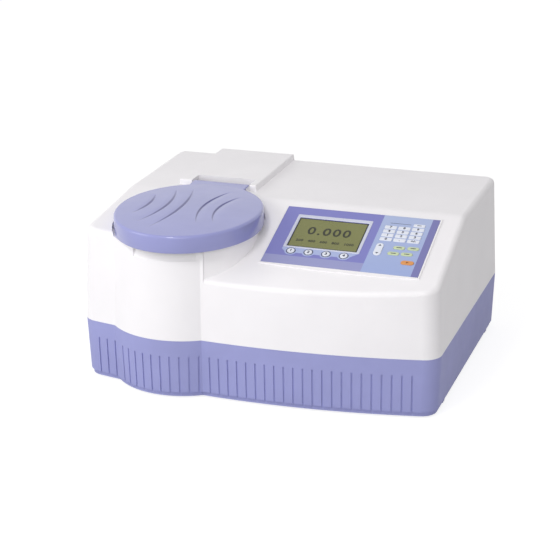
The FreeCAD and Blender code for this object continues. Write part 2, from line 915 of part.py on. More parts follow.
def lid_cap():
    """The oval cap with its crowned and fluted top, before the tongue is added."""
    high = lid_top_z + lid_crown
    dome = Part.makeSphere(dome_radius(), V(lid_offset_x, lid_y, high - dome_radius()))
    cap = oval_block(lid_offset_x, lid_y, lid_half_width, lid_half_length, lid_base_z, high + 1.0)
    cap = cap.common(dome)
    for shape in left_flutes:
        cap = cap.cut(flute(1, *shape))
    for shape in right_flutes:
        cap = cap.cut(flute(-1, *shape))
    rim = [e for e in cap.Edges if e.BoundBox.ZMin > lid_top_z - 1.0 and e.Length > lid_half_width * 3]
    return cap.makeFillet(lid_edge_round, rim)


def lid_tongue():
    """The flat tongue over the hinge, with its two knuckles."""
    half = tongue_width / 2
    y0 = lid_y + lid_half_length - tongue_sink
    y1 = lid_y + lid_half_length + tongue_length
    plate = rounded_block(lid_offset_x - half, lid_offset_x + half, y0, y1,
                          lid_top_z - tongue_thickness, lid_top_z, tongue_round)
    edges = [e for e in plate.Edges if e.BoundBox.ZMin > lid_top_z - 0.01 and e.BoundBox.YMin > y1 - 2.0]
    plate = plate.makeFillet(tongue_round * 0.9, [e for e in edges if e.Length > half])
    axis_y = lid_y + hinge_run
    axis_z = lid_base_z + hinge_lift
    pieces = [plate]
    for side in (-1, 1):
        x0 = lid_offset_x + side * knuckle_offset
        x0 = x0 if side > 0 else x0 - knuckle_length
        pieces.append(rod(x0, axis_y, axis_z, knuckle_radius, knuckle_length, ALONG_X))
        pieces.append(box(x0, x0 + knuckle_length, axis_y - knuckle_radius, axis_y + knuckle_web_back,
                          axis_z, lid_top_z - tongue_thickness + 0.5))
    return pieces


def sample_lid():
    bore = rod(lid_offset_x - case_width / 4, lid_y + hinge_run, lid_base_z + hinge_lift,
               hinge_pin_radius + hinge_fit, case_width / 2, ALONG_X)
    hollow = oval_block(lid_offset_x, lid_y, lid_half_width - lid_wall, lid_half_length - lid_wall,
                        lid_base_z - 1.0, lid_top_z - lid_wall)
    tongue = joined(lid_tongue()).cut(bore)
    return lid_placed(lid_cap().fuse(tongue).cut(hollow))


def lid_seal():
    grow = lid_wall + seal_gap
    outer = oval_block(lid_offset_x, lid_y, lid_half_width - grow, lid_half_length - grow,
                       lid_base_z, lid_base_z + seal_height)
    grow = grow + seal_width
    inner = oval_block(lid_offset_x, lid_y, lid_half_width - grow, lid_half_length - grow,
                       lid_base_z - 1.0, lid_base_z + seal_height + 1.0)
    return lid_placed(outer.cut(inner))


def hinge_pin():
    half = knuckle_offset + knuckle_length + hinge_pin_overhang
    return rod(lid_offset_x - half, hinge_y, hinge_z, hinge_pin_radius, 2 * half, ALONG_X)


def hinge_bracket():
    """Two ears on a plate, screwed to the recess floor between the lid's knuckles."""
    half = knuckle_offset - hinge_side_gap
    floor_shift = hinge_lift + lid_gap
    plate = box(lid_offset_x - half, lid_offset_x + half, hinge_y - bracket_front,
                hinge_y + bracket_back, hinge_z - floor_shift - 1.0,
                hinge_z - floor_shift + bracket_plate)
    pieces = [plate]
    for x0 in (lid_offset_x - half, lid_offset_x + half - ear_width):
        pieces.append(rod(x0, hinge_y, hinge_z, ear_radius, ear_width, ALONG_X))
        pieces.append(box(x0, x0 + ear_width, hinge_y - bracket_front, hinge_y + bracket_front,
                          hinge_z - floor_shift, hinge_z))
    body = joined(pieces)
    under = box(-case_width, case_width, -case_width, case_width, 0, lid_floor_z)
    under.Placement = lid_plane_placement()
    return body.cut(under).cut(hinge_pin())


def sample_well():
    """The black tub under the lid, on four legs, with a window in each side."""
    outer = well_hole(-well_clearance, well_floor_z, lid_floor_z + 20.0)
    inner = rounded_block(well_x - well_width / 2 + well_wall, well_x + well_width / 2 - well_wall,
                          well_y - well_length / 2 + well_wall, well_y + well_length / 2 - well_wall,
                          well_floor_z + well_wall, lid_floor_z + 30.0, well_corner - well_wall)
    tub = outer.cut(inner)
    tub = tub.cut(above_lid_floor(0.5))
    legs = []
    for side in (-1, 1):
        for end in (-1, 1):
            x = well_x + side * (well_width / 2 - well_leg_inset)
            y = well_y + end * (well_length / 2 - well_leg_inset)
            leg_z = bench_z + bench_thickness
            legs.append(rod(x, y, leg_z, well_leg_radius, well_floor_z - leg_z + 1.0))
    tub = joined([tub] + legs)
    tub = tub.cut(rod(well_x - well_width, beam_y, beam_height, window_radius, 2 * well_width, ALONG_X))
    return tub.cut(rod(well_x, well_y, well_floor_z - 1.0, motor_shaft_radius + 1.0, 10.0))


def beam_windows():
    panes = []
    for side in (-1, 1):
        x = well_x + side * (well_width / 2 - well_clearance - well_wall / 2)
        panes.append(rod(x - window_thickness / 2, beam_y, beam_height,
                         window_radius - well_clearance / 3, window_thickness, ALONG_X))
    return Part.makeCompound(panes)


def top_circle(shape, above_z):
    """The level round edges of a shape that lie well above a height."""
    return [e for e in shape.Edges if e.BoundBox.ZMin > above_z + cut_over and e.BoundBox.ZLength < 0.1]


def cell_carousel():
    """The turning cell holder: open square pockets between wedge ribs, and its shaft."""
    z0 = well_floor_z + well_wall + carousel_gap
    body = rod(well_x, well_y, z0, carousel_radius, carousel_height)
    step = 360.0 / cell_count
    for index in range(cell_count):
        slot = box(cell_radius - cell_size / 2, carousel_radius + cut_over, -cell_size / 2,
                   cell_size / 2, z0 + carousel_floor, z0 + carousel_height + cut_over)
        beam = box(cell_radius - cell_window_width / 2, cell_radius + cell_window_width / 2,
                   -carousel_radius, carousel_radius, beam_height - cell_window_height / 2,
                   beam_height + cell_window_height / 2)
        cutter = slot.fuse(beam)
        cutter.Placement = FreeCAD.Placement(V(well_x, well_y, 0), FreeCAD.Rotation(UP, index * step))
        body = body.cut(cutter)
    knob_z = z0 + carousel_height
    knob = rod(well_x, well_y, knob_z, carousel_knob_radius, carousel_knob_height)
    knob = knob.makeChamfer(carousel_knob_round, top_circle(knob, knob_z))
    shaft_z = bench_top() + motor_bore_floor + grating_gap
    shaft = rod(well_x, well_y, shaft_z, motor_shaft_radius, z0 - shaft_z)
    return joined([body, knob, shaft])


def stepper(x, y, z):
    """A square stepping motor standing on z, with a bore for the shaft it turns."""
    half = motor_size / 2
    can = rounded_block(x - half, x + half, y - half, y + half, z, z + motor_height, motor_corner)
    boss = rod(x, y, z + motor_height, motor_boss_radius, motor_boss_height)
    bore = rod(x, y, z + motor_bore_floor, motor_shaft_radius + shaft_fit, motor_height)
    return can.fuse(boss).cut(bore)


def carousel_motor():
    return stepper(well_x, well_y, bench_z + bench_thickness)


def key_list():
    """Every push key of the panel: name, place on the deck, width and length."""
    keys = []
    for index in range(4):
        x = soft_key_first_x + index * soft_key_pitch
        size = 2 * soft_key_radius
        keys.append(("soft_key_%d" % (index + 1), x, soft_key_s, size, size, soft_key_radius))
    names = ("7", "8", "9", "4", "5", "6", "1", "2", "3", "0", "point", "sign")
    for index, name in enumerate(names):
        x = pad_first_x + (index % 3) * pad_pitch_x
        s = pad_first_s - (index // 3) * pad_pitch_s
        keys.append(("number_key_" + name, x, s, pad_key_width, pad_key_length, key_corner))
    keys.append(("clear_key", clear_key_x, clear_key_s, clear_key_width, clear_key_length, key_corner))
    for index, (x, s) in enumerate(function_key_places):
        keys.append(("function_key_%d" % (index + 1), x, s, function_key_width,
                     function_key_length, function_key_length / 2))
    keys.append(("start_key", start_key_x, start_key_s, start_key_width, start_key_length,
                 start_key_length / 2))
    return keys


ARROW_KEY = ("arrow_key", arrow_key_x, arrow_key_s, arrow_key_width, arrow_key_length,
             arrow_key_width / 2)


def key_shape(key, grow, low, high):
    """A key's rounded prism in the deck's frame, grown all round by a clearance."""
    x, s, width, length, radius = key[1:]
    half_w = width / 2 + grow
    half_l = length / 2 + grow
    round_to = min(radius + grow, half_w, half_l)
    if round_to > half_w - 0.01 and round_to > half_l - 0.01:
        return rod(x, s, low, round_to, high - low)
    return rounded_block(x - half_w, x + half_w, s - half_l, s + half_l, low, high, round_to - 0.001)


def key_cap(key):
    return on_deck(key_shape(key, 0.0, key_level - key_rise - key_stem, key_level + key_rise))


def screen_hole(grow, low, high):
    return box(screen_left - grow, screen_right + grow, screen_low - grow, screen_high + grow,
               low, high)


def control_panel():
    plate = box(panel_left, panel_right, panel_low, panel_high, 0, panel_thickness)
    for key in key_list() + [ARROW_KEY]:
        plate = plate.cut(key_shape(key, key_clearance, -1.0, panel_thickness + 1.0))
    return on_deck(plate.cut(screen_hole(0.0, -1.0, panel_thickness + 1.0)))


def display_bezel():
    frame = box(screen_left - bezel_side, screen_right + bezel_side, screen_low - bezel_low,
                screen_high + bezel_top, panel_thickness, panel_thickness + bezel_rise)
    return on_deck(frame.cut(screen_hole(0.0, 0.0, panel_thickness + 5.0)))


def display_screen():
    """The display module: its glass in the panel's window, its frame under the panel."""
    top = panel_thickness - screen_recess
    glass = screen_hole(-panel_clearance, top - screen_thickness, top)
    frame = screen_hole(bezel_side, top - screen_thickness, -panel_clearance)
    return on_deck(glass.fuse(frame).removeSplitter())


def keypad_board():
    """The board behind the panel: a switch under every key, spacers at its corners."""
    top = panel_thickness - screen_recess - screen_thickness - board_gap
    x0 = panel_left + panel_ledge / 2
    x1 = panel_right - panel_ledge / 2
    s0 = panel_low + panel_ledge / 2
    s1 = panel_high - panel_ledge / 2
    pieces = [box(x0, x1, s0, s1, top - board_thickness, top)]
    switch_top = key_level - key_rise - key_stem - key_travel - key_switch_gap
    half = key_switch_size / 2
    for key in key_list() + [ARROW_KEY]:
        x, s = key[1:3]
        pieces.append(box(x - half, x + half, s - half, s + half, top, switch_top))
    for x in (x0, x1 - panel_ledge / 2):
        for s in (s0, s1 - panel_ledge / 2):
            pieces.append(box(x, x + panel_ledge / 2, s, s + panel_ledge / 2, top, -wall))
    return on_deck(joined(pieces))


def optical_bench():
    plate = rounded_block(bench_left, bench_right, bench_front, bench_back, bench_z,
                          bench_z + bench_thickness, bench_corner)
    pieces = [plate]
    for x in (bench_left + 2 * bench_leg_radius, 0.0, bench_right - 2 * bench_leg_radius):
        for y in (bench_front + 2 * bench_leg_radius, bench_back - 2 * bench_leg_radius):
            pieces.append(rod(x, y, floor_z, bench_leg_radius, bench_z - floor_z))
    return joined(pieces)


def bench_top():
    return bench_z + bench_thickness


def monochromator_housing():
    z0 = bench_top()
    z1 = beam_height + mono_rise
    outer = rounded_block(mono_left, mono_right, mono_front, mono_back, z0, z1,
                          mono_corner)
    inner = rounded_block(mono_left + mono_wall, mono_right - mono_wall, mono_front + mono_wall,
                          mono_back - mono_wall, z0 + mono_wall, z1 + cut_over,
                          mono_corner - mono_wall)
    body = outer.cut(inner)
    body = body.cut(rod(source_x, mono_back - 3 * mono_wall, beam_height, mono_slot / 2,
                        4 * mono_wall, ALONG_Y))
    return body.cut(rod(mono_left - mono_wall, beam_y, beam_height, mono_slot / 2,
                        3 * mono_wall, ALONG_X))


def slit_plates():
    half = slit_size / 2
    side = mono_left + mono_wall
    exit_plate = box(side, side + slit_thickness, beam_y - half, beam_y + half,
                     beam_height - half, beam_height + half)
    low = beam_height - slit_height / 2
    high = beam_height + slit_height / 2
    exit_plate = exit_plate.cut(box(side - cut_over, side + slit_thickness + cut_over,
                                    beam_y - slit_width / 2, beam_y + slit_width / 2, low, high))
    back = mono_back - mono_wall
    entry_plate = box(source_x - half, source_x + half, back - slit_thickness, back,
                      beam_height - half, beam_height + half)
    entry_plate = entry_plate.cut(box(source_x - slit_width / 2, source_x + slit_width / 2,
                                      back - slit_thickness - cut_over, back + cut_over, low, high))
    return Part.makeCompound([exit_plate, entry_plate])


def concave_mirror(x, y, turn):
    """A round concave mirror on its stand; it faces the way that turn gives."""
    disc = rod(0, 0, 0, mirror_radius, mirror_thickness, ALONG_X)
    sphere = Part.makeSphere(mirror_curve, V(mirror_curve + mirror_thickness - mirror_dish, 0, 0))
    disc = disc.cut(sphere)
    low = bench_top() + mono_wall - beam_height
    stand = box(-mirror_stand, 0, -mirror_stand, mirror_stand, low, mirror_stand)
    foot = box(-mirror_stand, mirror_stand, -mirror_stand, mirror_stand, low, low + mono_wall)
    body = joined([disc, stand, foot])
    body.Placement = FreeCAD.Placement(V(x, y, beam_height), FreeCAD.Rotation(UP, turn))
    return body


def collimating_mirrors():
    far = mono_right - mono_wall - mirror_stand * 2
    return Part.makeCompound([concave_mirror(far, beam_y + mirror_radius / 2, 176.0),
                              concave_mirror(source_x, mono_front + mono_wall + mirror_stand * 2, 84.0)])


def grating_place():
    return (mono_left + mono_right) / 2 + mirror_radius, (mono_front + mono_back) / 2 + mirror_radius


def diffraction_grating():
    """The ruled block on its turning table, with the table's shaft."""
    x, y = grating_place()
    table_z = beam_height - grating_size / 2 - grating_table_thickness
    table = rod(x, y, table_z, grating_table_radius, grating_table_thickness)
    block = box(x - grating_thickness / 2, x + grating_thickness / 2, y - grating_size / 2,
                y + grating_size / 2, table_z + grating_table_thickness,
                table_z + grating_table_thickness + grating_size)
    shaft_z = bench_top() + mono_wall + motor_bore_floor + grating_gap
    shaft = rod(x, y, shaft_z, motor_shaft_radius, table_z - shaft_z)
    return joined([table, block, shaft])


def grating_motor():
    x, y = grating_place()
    return stepper(x, y, bench_top() + mono_wall)


def filter_axis_x():
    return source_x + filter_ring


def filter_wheel():
    x = filter_axis_x()
    wheel = rod(x, filter_wheel_y, beam_height, filter_wheel_radius, filter_wheel_thickness, ALONG_Y)
    for index in range(filter_hole_count):
        angle = 2 * math.pi * index / filter_hole_count
        hx = x + filter_ring * math.cos(angle)
        hz = beam_height + filter_ring * math.sin(angle)
        wheel = wheel.cut(rod(hx, filter_wheel_y - cut_over, hz, filter_hole_radius,
                              filter_wheel_thickness + 2 * cut_over, ALONG_Y))
    shaft = rod(x, filter_wheel_y, beam_height, motor_shaft_radius,
                filter_wheel_thickness + filter_motor_length, ALONG_Y)
    return joined([wheel, shaft])


def filter_motor():
    """A flat motor on a pedestal from the bench, behind the filter wheel."""
    x = filter_axis_x()
    y0 = filter_wheel_y + filter_wheel_thickness + grating_gap
    half = motor_size / 2
    can = box(x - half, x + half, y0, y0 + filter_motor_length, beam_height - half, beam_height + half)
    stand = box(x - half, x + half, y0, y0 + filter_motor_length, bench_top(), beam_height - half)
    bore = rod(x, y0 - cut_over, beam_height, motor_shaft_radius + shaft_fit,
               filter_motor_length, ALONG_Y)
    return joined([can, stand]).cut(bore)


def lamp_house():
    """The open-topped sheet box round the two lamps, with cooling slots at the back."""
    z0 = bench_top()
    z1 = beam_height + lamp_house_rise
    outer = box(lamp_left, lamp_right, lamp_front, lamp_back, z0, z1)
    inner = box(lamp_left + lamp_wall, lamp_right - lamp_wall, lamp_front + lamp_wall,
                lamp_back - lamp_wall, z0 + lamp_wall, z1 + cut_over)
    body = outer.cut(inner)
    body = body.fuse(rod(source_x, source_y, z0, motor_boss_radius, motor_height))
    body = body.cut(rod(source_x, source_y, z0 + lamp_wall, motor_shaft_radius + shaft_fit,
                        motor_height))
    body = body.cut(rod(source_x, lamp_front - cut_over, beam_height, mono_slot / 2,
                        lamp_wall + 2 * cut_over, ALONG_Y))
    middle = (lamp_left + lamp_right) / 2
    half = lamp_slot_width / 2
    for index in range(lamp_slot_count):
        x = middle + (index - (lamp_slot_count - 1) / 2) * lamp_slot_pitch
        body = body.cut(box(x - half, x + half, lamp_back - lamp_wall - cut_over,
                            lamp_back + cut_over, z0 + lamp_slot_low, z1 - lamp_slot_margin))
    return body


def lamp_base(x, y):
    return rod(x, y, bench_top() + lamp_wall, bulb_base_radius, bulb_base_height)


def glass_bulb(x, low, radius, height):
    """A glass tube closed by a round end."""
    shoulder = low + height - radius
    middle = V(radius * math.sqrt(0.5), 0, shoulder + radius * math.sqrt(0.5))
    top = V(0, 0, low + height)
    edges = [Part.makeLine(V(0, 0, low), V(radius, 0, low)),
             Part.makeLine(V(radius, 0, low), V(radius, 0, shoulder)),
             Part.Arc(V(radius, 0, shoulder), middle, top).toShape(), Part.makeLine(top, V(0, 0, low))]
    bulb = Part.Face(Part.Wire(edges)).revolve(V(), UP, 360)
    bulb.translate(V(x, source_y, 0))
    return bulb


def deuterium_lamp():
    """A round ultraviolet bulb on its flange."""
    x = source_x - lamp_spread
    z0 = bench_top() + lamp_wall + bulb_base_height
    low = beam_height - bulb_height / 2
    stem = rod(x, source_y, z0, bulb_base_radius / 2, low - z0)
    return joined([lamp_base(x, source_y), stem, glass_bulb(x, low, bulb_radius, bulb_height)])


def halogen_lamp():
    """A small capsule lamp in its socket."""
    x = source_x + lamp_spread
    z0 = bench_top() + lamp_wall + bulb_base_height
    low = beam_height - halogen_height / 2
    socket = rod(x, source_y, z0, bulb_base_radius / 2, low - z0)
    return joined([lamp_base(x, source_y), socket, glass_bulb(x, low, halogen_radius, halogen_height)])


def source_mirror():
    """The flat mirror that turns between the two lamps, with its shaft."""
    half = flip_mirror_size / 2
    thick = flip_mirror_thickness / 2
    low = bench_top() + motor_height
    plate = box(source_x - half, source_x + half, source_y - thick, source_y + thick,
                beam_height - half, beam_height + half)
    plate.rotate(V(source_x, source_y, 0), UP, 45.0)
    shaft_z = bench_top() + lamp_wall + grating_gap
    shaft = rod(source_x, source_y, shaft_z, motor_shaft_radius, beam_height - half - shaft_z)
    collar = rod(source_x, source_y, low + grating_gap, flip_collar_radius, flip_collar_height)
    return joined([plate, shaft, collar])


def detector_module():
    """The light sensor in its box, with its aperture towards the sample."""
    x0 = well_x - well_width / 2 - detector_gap - detector_width
    x1 = x0 + detector_width
    half = detector_length / 2
    z0 = bench_top()
    body = rounded_block(x0, x1, beam_y - half, beam_y + half, z0, beam_height + detector_rise,
                         detector_corner)
    return body.cut(rod(x1 - detector_hole_depth, beam_y, beam_height, mono_slot / 2,
                        detector_hole_depth + cut_over, ALONG_X))


def board_on_posts(x0, x1, y0, y1, lift):
    """A circuit board and its four posts from the base's floor."""
    z0 = floor_z + lift
    pieces = [box(x0, x1, y0, y1, z0, z0 + board_thickness)]
    for x in (x0 + board_post_inset, x1 - board_post_inset):
        for y in (y0 + board_post_inset, y1 - board_post_inset):
            pieces.append(rod(x, y, floor_z, board_post_radius, lift))
    return pieces


def power_supply():
    """An open supply: board, transformer, storage capacitors and a finned heat sink."""
    pieces = board_on_posts(supply_left, supply_right, supply_front, supply_back, supply_lift)
    top = floor_z + supply_lift + board_thickness
    x0 = supply_left + board_margin
    y = supply_front + board_margin
    pieces.append(box(x0, x0 + transformer_width, y, y + transformer_length,
                      top, top + transformer_height))
    y = y + transformer_length + 2 * capacitor_radius
    for index in range(capacitor_count):
        x = x0 + index * capacitor_pitch
        pieces.append(rod(x, y, top, capacitor_radius, capacitor_height))
    y = y + 2 * capacitor_radius
    spine = (sink_fin_count - 1) * sink_fin_pitch + sink_fin_thickness
    pieces.append(box(x0, x0 + spine, y, y + sink_fin_thickness, top, top + sink_height))
    for index in range(sink_fin_count):
        x = x0 + index * sink_fin_pitch
        pieces.append(box(x, x + sink_fin_thickness, y, y + sink_fin_length, top, top + sink_height))
    return joined(pieces)


def main_board():
    """The controller board on its posts, with its chips and plug rows."""
    pieces = board_on_posts(main_board_left, main_board_right, main_board_front, main_board_back,
                            main_board_lift)
    top = floor_z + main_board_lift + board_thickness
    x0 = main_board_left + board_margin
    x1 = main_board_right - board_margin
    for index in range(chip_count):
        y = main_board_front + board_margin + index * chip_pitch
        pieces.append(box(x0, x0 + chip_size, y, y + chip_size, top, top + chip_height))
        pieces.append(box(x1 - plug_width, x1, y, y + plug_length, top, top + plug_height))
    return joined(pieces)


def rear_face_y():
    return back_y - rear_setback


def rear_panel():
    gap = rear_clearance
    y1 = rear_face_y()
    y0 = y1 - rear_thickness
    plate = box(rear_left + gap, rear_right - gap, y0, y1, foot_height + rear_low + gap,
                foot_height + rear_high - gap)
    ring_step = (fan_bore - fan_hub_radius / 2) / grille_rings
    grille = []
    for index in range(grille_rings):
        outer = fan_bore - index * ring_step
        depth = rear_thickness + 2 * cut_over
        ring = rod(fan_x, y0 - cut_over, fan_z, outer, depth, ALONG_Y)
        ring = ring.cut(rod(fan_x, y0 - cut_over, fan_z, outer - grille_slot, depth, ALONG_Y))
        grille.append(ring)
    slots = Part.makeCompound(grille)
    reach = fan_bore + cut_over
    half = grille_spoke / 2
    low = y0 - 2 * cut_over
    high = y1 + 2 * cut_over
    spokes = box(fan_x - reach, fan_x + reach, low, high, fan_z - half, fan_z + half)
    spokes = spokes.fuse(box(fan_x - half, fan_x + half, low, high, fan_z - reach, fan_z + reach))
    plate = plate.cut(slots.cut(spokes))
    inlet_grow = rear_clearance - inlet_flange
    plate = plate.cut(inlet_block(inlet_grow, y0 - cut_over, y1 + cut_over))
    for x, z, width in port_places:
        plate = plate.cut(port_block(x, z, width, rear_clearance, y0 - cut_over, y1 + cut_over))
    return plate


def inlet_block(grow, y0, y1):
    half_w = inlet_width / 2 + grow
    half_h = inlet_height / 2 + grow
    return box(inlet_x - half_w, inlet_x + half_w, y0, y1, inlet_z - half_h, inlet_z + half_h)


def switch_center_z():
    return inlet_z - switch_drop


def socket_center_z():
    return inlet_z + (inlet_height - inlet_socket_height) / 2 - inlet_flange - inlet_margin


def power_entry():
    """The inlet with its socket and blades, and the well that holds the rocker."""
    face = rear_face_y()
    flange = inlet_block(0.0, face, face + inlet_flange)
    body = inlet_block(-inlet_flange, face - inlet_body_depth, face + inlet_flange)
    entry = flange.fuse(body).removeSplitter()
    out = face + inlet_flange
    sz = socket_center_z()
    entry = entry.cut(box(inlet_x - inlet_socket_width / 2, inlet_x + inlet_socket_width / 2,
                          out - inlet_socket_depth, out + cut_over, sz - inlet_socket_height / 2,
                          sz + inlet_socket_height / 2))
    blades = []
    for index in (-1, 0, 1):
        bx = inlet_x + index * inlet_blade_spread
        bz = sz + (inlet_blade_stagger if index == 0 else -inlet_blade_stagger)
        blades.append(box(bx - inlet_blade_width / 2, bx + inlet_blade_width / 2,
                          out - inlet_socket_depth - cut_over,
                          out - inlet_socket_depth + inlet_blade_length,
                          bz - inlet_blade_height / 2, bz + inlet_blade_height / 2))
    cz = switch_center_z()
    entry = entry.cut(box(inlet_x - switch_width / 2, inlet_x + switch_width / 2, out - switch_depth,
                          out + cut_over, cz - switch_height / 2, cz + switch_height / 2))
    reach = rocker_pin_reach + rocker_pin_play
    pin = rod(inlet_x - switch_width / 2 - reach, rocker_axis_y(), cz, rocker_pin_radius + shaft_fit,
              switch_width + 2 * reach, ALONG_X)
    return joined([entry.cut(pin)] + blades)


def rocker_axis_y():
    return rear_face_y() + inlet_flange - rocker_axis_depth


def power_rocker():
    """The rocker cap, resting tilted with its upper end pressed in."""
    cz = switch_center_z()
    half_w = switch_width / 2 - rocker_gap
    half_h = switch_height / 2 - rocker_end_gap
    foot = half_h - rocker_taper
    lip = rocker_height - rocker_lip
    points = [V(0, -rocker_depth, -foot), V(0, lip, -half_h), V(0, rocker_height, -half_h),
              V(0, rocker_dish, 0), V(0, rocker_height, half_h), V(0, lip, half_h),
              V(0, -rocker_depth, foot), V(0, -rocker_depth, -foot)]
    cap = Part.Face(Part.makePolygon(points)).extrude(V(2 * half_w, 0, 0))
    cap.translate(V(-half_w, 0, 0))
    pin = rod(-switch_width / 2 - rocker_pin_reach, 0, 0, rocker_pin_radius,
              switch_width + 2 * rocker_pin_reach, ALONG_X)
    cap = joined([cap, pin])
    cap.Placement = FreeCAD.Placement(V(inlet_x, rocker_axis_y(), cz),
                                      FreeCAD.Rotation(ALONG_X, rocker_throw / 2))
    return cap


def port_block(x, z, width, grow, y0, y1):
    half_w = width / 2 + grow
    half_h = port_height / 2 + grow
    face = rounded_face(-half_w, half_w, -half_h, half_h, port_corner)
    block = face.extrude(V(0, 0, y1 - y0))
    block.Placement = FreeCAD.Placement(V(x, y1, z), FreeCAD.Rotation(ALONG_X, 90))
    return block


def data_ports():
    """Two shielded sockets: a metal shell round an insulating block, in each hole."""
    face = rear_face_y()
    ports = []
    for x, z, width in port_places:
        shell = port_block(x, z, width, 0.0, face - port_depth, face + port_reach)
        hollow = port_block(x, z, width, -port_shell, face - port_hollow, face + port_reach + cut_over)
        tongue = port_block(x, z, width, -port_tongue_inset, face - port_hollow - cut_over,
                            face + port_reach - port_tongue_drop)
        ports.append(shell.cut(hollow).fuse(tongue).removeSplitter())
    return Part.makeCompound(ports)


def fan_frame():
    """The fan's square frame with its bore, and the hub and shaft on three arms."""
    y1 = rear_face_y() - rear_thickness
    y0 = y1 - fan_depth
    half = fan_size / 2
    frame = box(fan_x - half, fan_x + half, y0, y1, fan_z - half, fan_z + half)
    frame = frame.cut(rod(fan_x, y0 - cut_over, fan_z, fan_bore, fan_depth + 2 * cut_over, ALONG_Y))
    pieces = [frame, rod(fan_x, y0, fan_z, fan_hub_radius, fan_plate, ALONG_Y)]
    for index in range(3):
        arm = box(0, fan_bore + cut_over, y0, y0 + fan_plate, -fan_arm_width / 2, fan_arm_width / 2)
        turn = FreeCAD.Rotation(ALONG_Y, fan_arm_turn + index * 120.0)
        arm.Placement = FreeCAD.Placement(V(fan_x, 0, fan_z), turn)
        pieces.append(arm)
    pieces.append(rod(fan_x, y0, fan_z, fan_shaft_radius, fan_shaft_length, ALONG_Y))
    return joined(pieces)


def fan_rotor():
    """The hub with its twisted blades, on the frame's shaft."""
    frame_y = rear_face_y() - rear_thickness - fan_depth
    y0 = frame_y + fan_plate + fan_back_gap
    y1 = frame_y + fan_depth - fan_front_gap
    pieces = [rod(fan_x, y0, fan_z, fan_hub_radius, y1 - y0, ALONG_Y)]
    half = fan_blade_width / 2
    thick = fan_blade_thickness / 2
    for index in range(fan_blades):
        blade = box(fan_hub_radius - cut_over, fan_bore + cut_over, -half, half, -thick, thick)
        lean = FreeCAD.Placement(V(), FreeCAD.Rotation(ALONG_X, fan_blade_angle))
        around = FreeCAD.Rotation(ALONG_Y, index * 360.0 / fan_blades)
        blade.Placement = FreeCAD.Placement(V(fan_x, (y0 + y1) / 2, fan_z), around).multiply(lean)
        pieces.append(blade)
    body = joined(pieces)
    body = body.common(rod(fan_x, y0, fan_z, fan_bore - fan_tip_gap, y1 - y0, ALONG_Y))
    bore_end = frame_y + fan_shaft_length + fan_shaft_play
    return body.cut(rod(fan_x, frame_y, fan_z, fan_shaft_radius + fan_shaft_fit,
                        bore_end - frame_y, ALONG_Y))


def export(name, shape):
    shape.exportStep(os.path.join(PARTS, name + ".step"))
    solids = shape.Solids
    volume = sum(s.Volume for s in solids)
    print(name, "solids", len(solids), "valid", shape.isValid(), "volume", round(volume, 1))


def main():
    os.makedirs(PARTS, exist_ok=True)
    makers = (upper_cover, base_case, cover_screws, rubber_feet, sample_lid, lid_seal, hinge_pin,
              hinge_bracket, sample_well, beam_windows, cell_carousel, carousel_motor,
              control_panel, display_bezel, display_screen, keypad_board, optical_bench,
              monochromator_housing, slit_plates, collimating_mirrors, diffraction_grating,
              grating_motor, filter_wheel, filter_motor, lamp_house, deuterium_lamp,
              halogen_lamp, source_mirror, detector_module, power_supply, main_board,
              rear_panel, power_entry, power_rocker, data_ports, fan_frame, fan_rotor)
    for maker in makers:
        export(maker.__name__, maker())
    for key in key_list() + [ARROW_KEY]:
        export(key[0], key_cap(key))


main()
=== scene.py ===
"""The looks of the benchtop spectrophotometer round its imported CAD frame."""
import bpy
import bmesh
import json
import math
from mathutils import Matrix, Vector


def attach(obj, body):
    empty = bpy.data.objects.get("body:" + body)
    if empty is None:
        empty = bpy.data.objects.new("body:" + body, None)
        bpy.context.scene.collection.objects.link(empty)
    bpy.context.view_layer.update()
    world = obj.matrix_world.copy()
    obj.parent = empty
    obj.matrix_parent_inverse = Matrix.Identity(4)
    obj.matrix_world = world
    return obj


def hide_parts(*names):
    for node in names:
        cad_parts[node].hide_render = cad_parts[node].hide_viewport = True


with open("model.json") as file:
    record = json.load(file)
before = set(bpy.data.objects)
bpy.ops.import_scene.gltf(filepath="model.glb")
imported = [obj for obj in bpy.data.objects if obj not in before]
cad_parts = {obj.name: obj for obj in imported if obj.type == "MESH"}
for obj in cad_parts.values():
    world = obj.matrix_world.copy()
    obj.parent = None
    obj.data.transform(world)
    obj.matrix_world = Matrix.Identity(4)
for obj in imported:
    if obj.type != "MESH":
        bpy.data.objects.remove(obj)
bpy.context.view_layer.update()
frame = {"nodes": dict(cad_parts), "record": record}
nodes = frame["nodes"]
MM = 0.001

# The sloped deck, on which places are given in millimetres across, along and above it.
# Its origin is in metres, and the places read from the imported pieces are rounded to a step.
DECK_ANGLE = math.radians(18.04)
DECK_ORIGIN = Vector((0.0, -0.1705, 0.1897))
DECK = Matrix.Translation(DECK_ORIGIN) @ Matrix.Rotation(DECK_ANGLE, 4, "X")
PLACE_STEP = 0.05


def deck_box(node):
    """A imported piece's box on the deck: three pairs of a least and a greatest value."""
    back = DECK.inverted() @ nodes[node].matrix_world
    points = [back @ vertex.co / MM for vertex in nodes[node].data.vertices]
    box = []
    for axis in range(3):
        values = [point[axis] for point in points]
        box.append([round(round(end / PLACE_STEP) * PLACE_STEP, 2) for end in (min(values), max(values))])
    return box


def deck_place(node):
    """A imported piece's middle and size on the deck: across, along, width and length."""
    (left, right), (near, far) = deck_box(node)[:2]
    return (left + right) / 2, (near + far) / 2, right - left, far - near


PANEL_TOP = deck_box("control_panel")[2][1]
SCREEN_TOP = deck_box("display_screen")[2][1]
KEY_LOW, KEY_TOP = deck_box("start_key")[2]

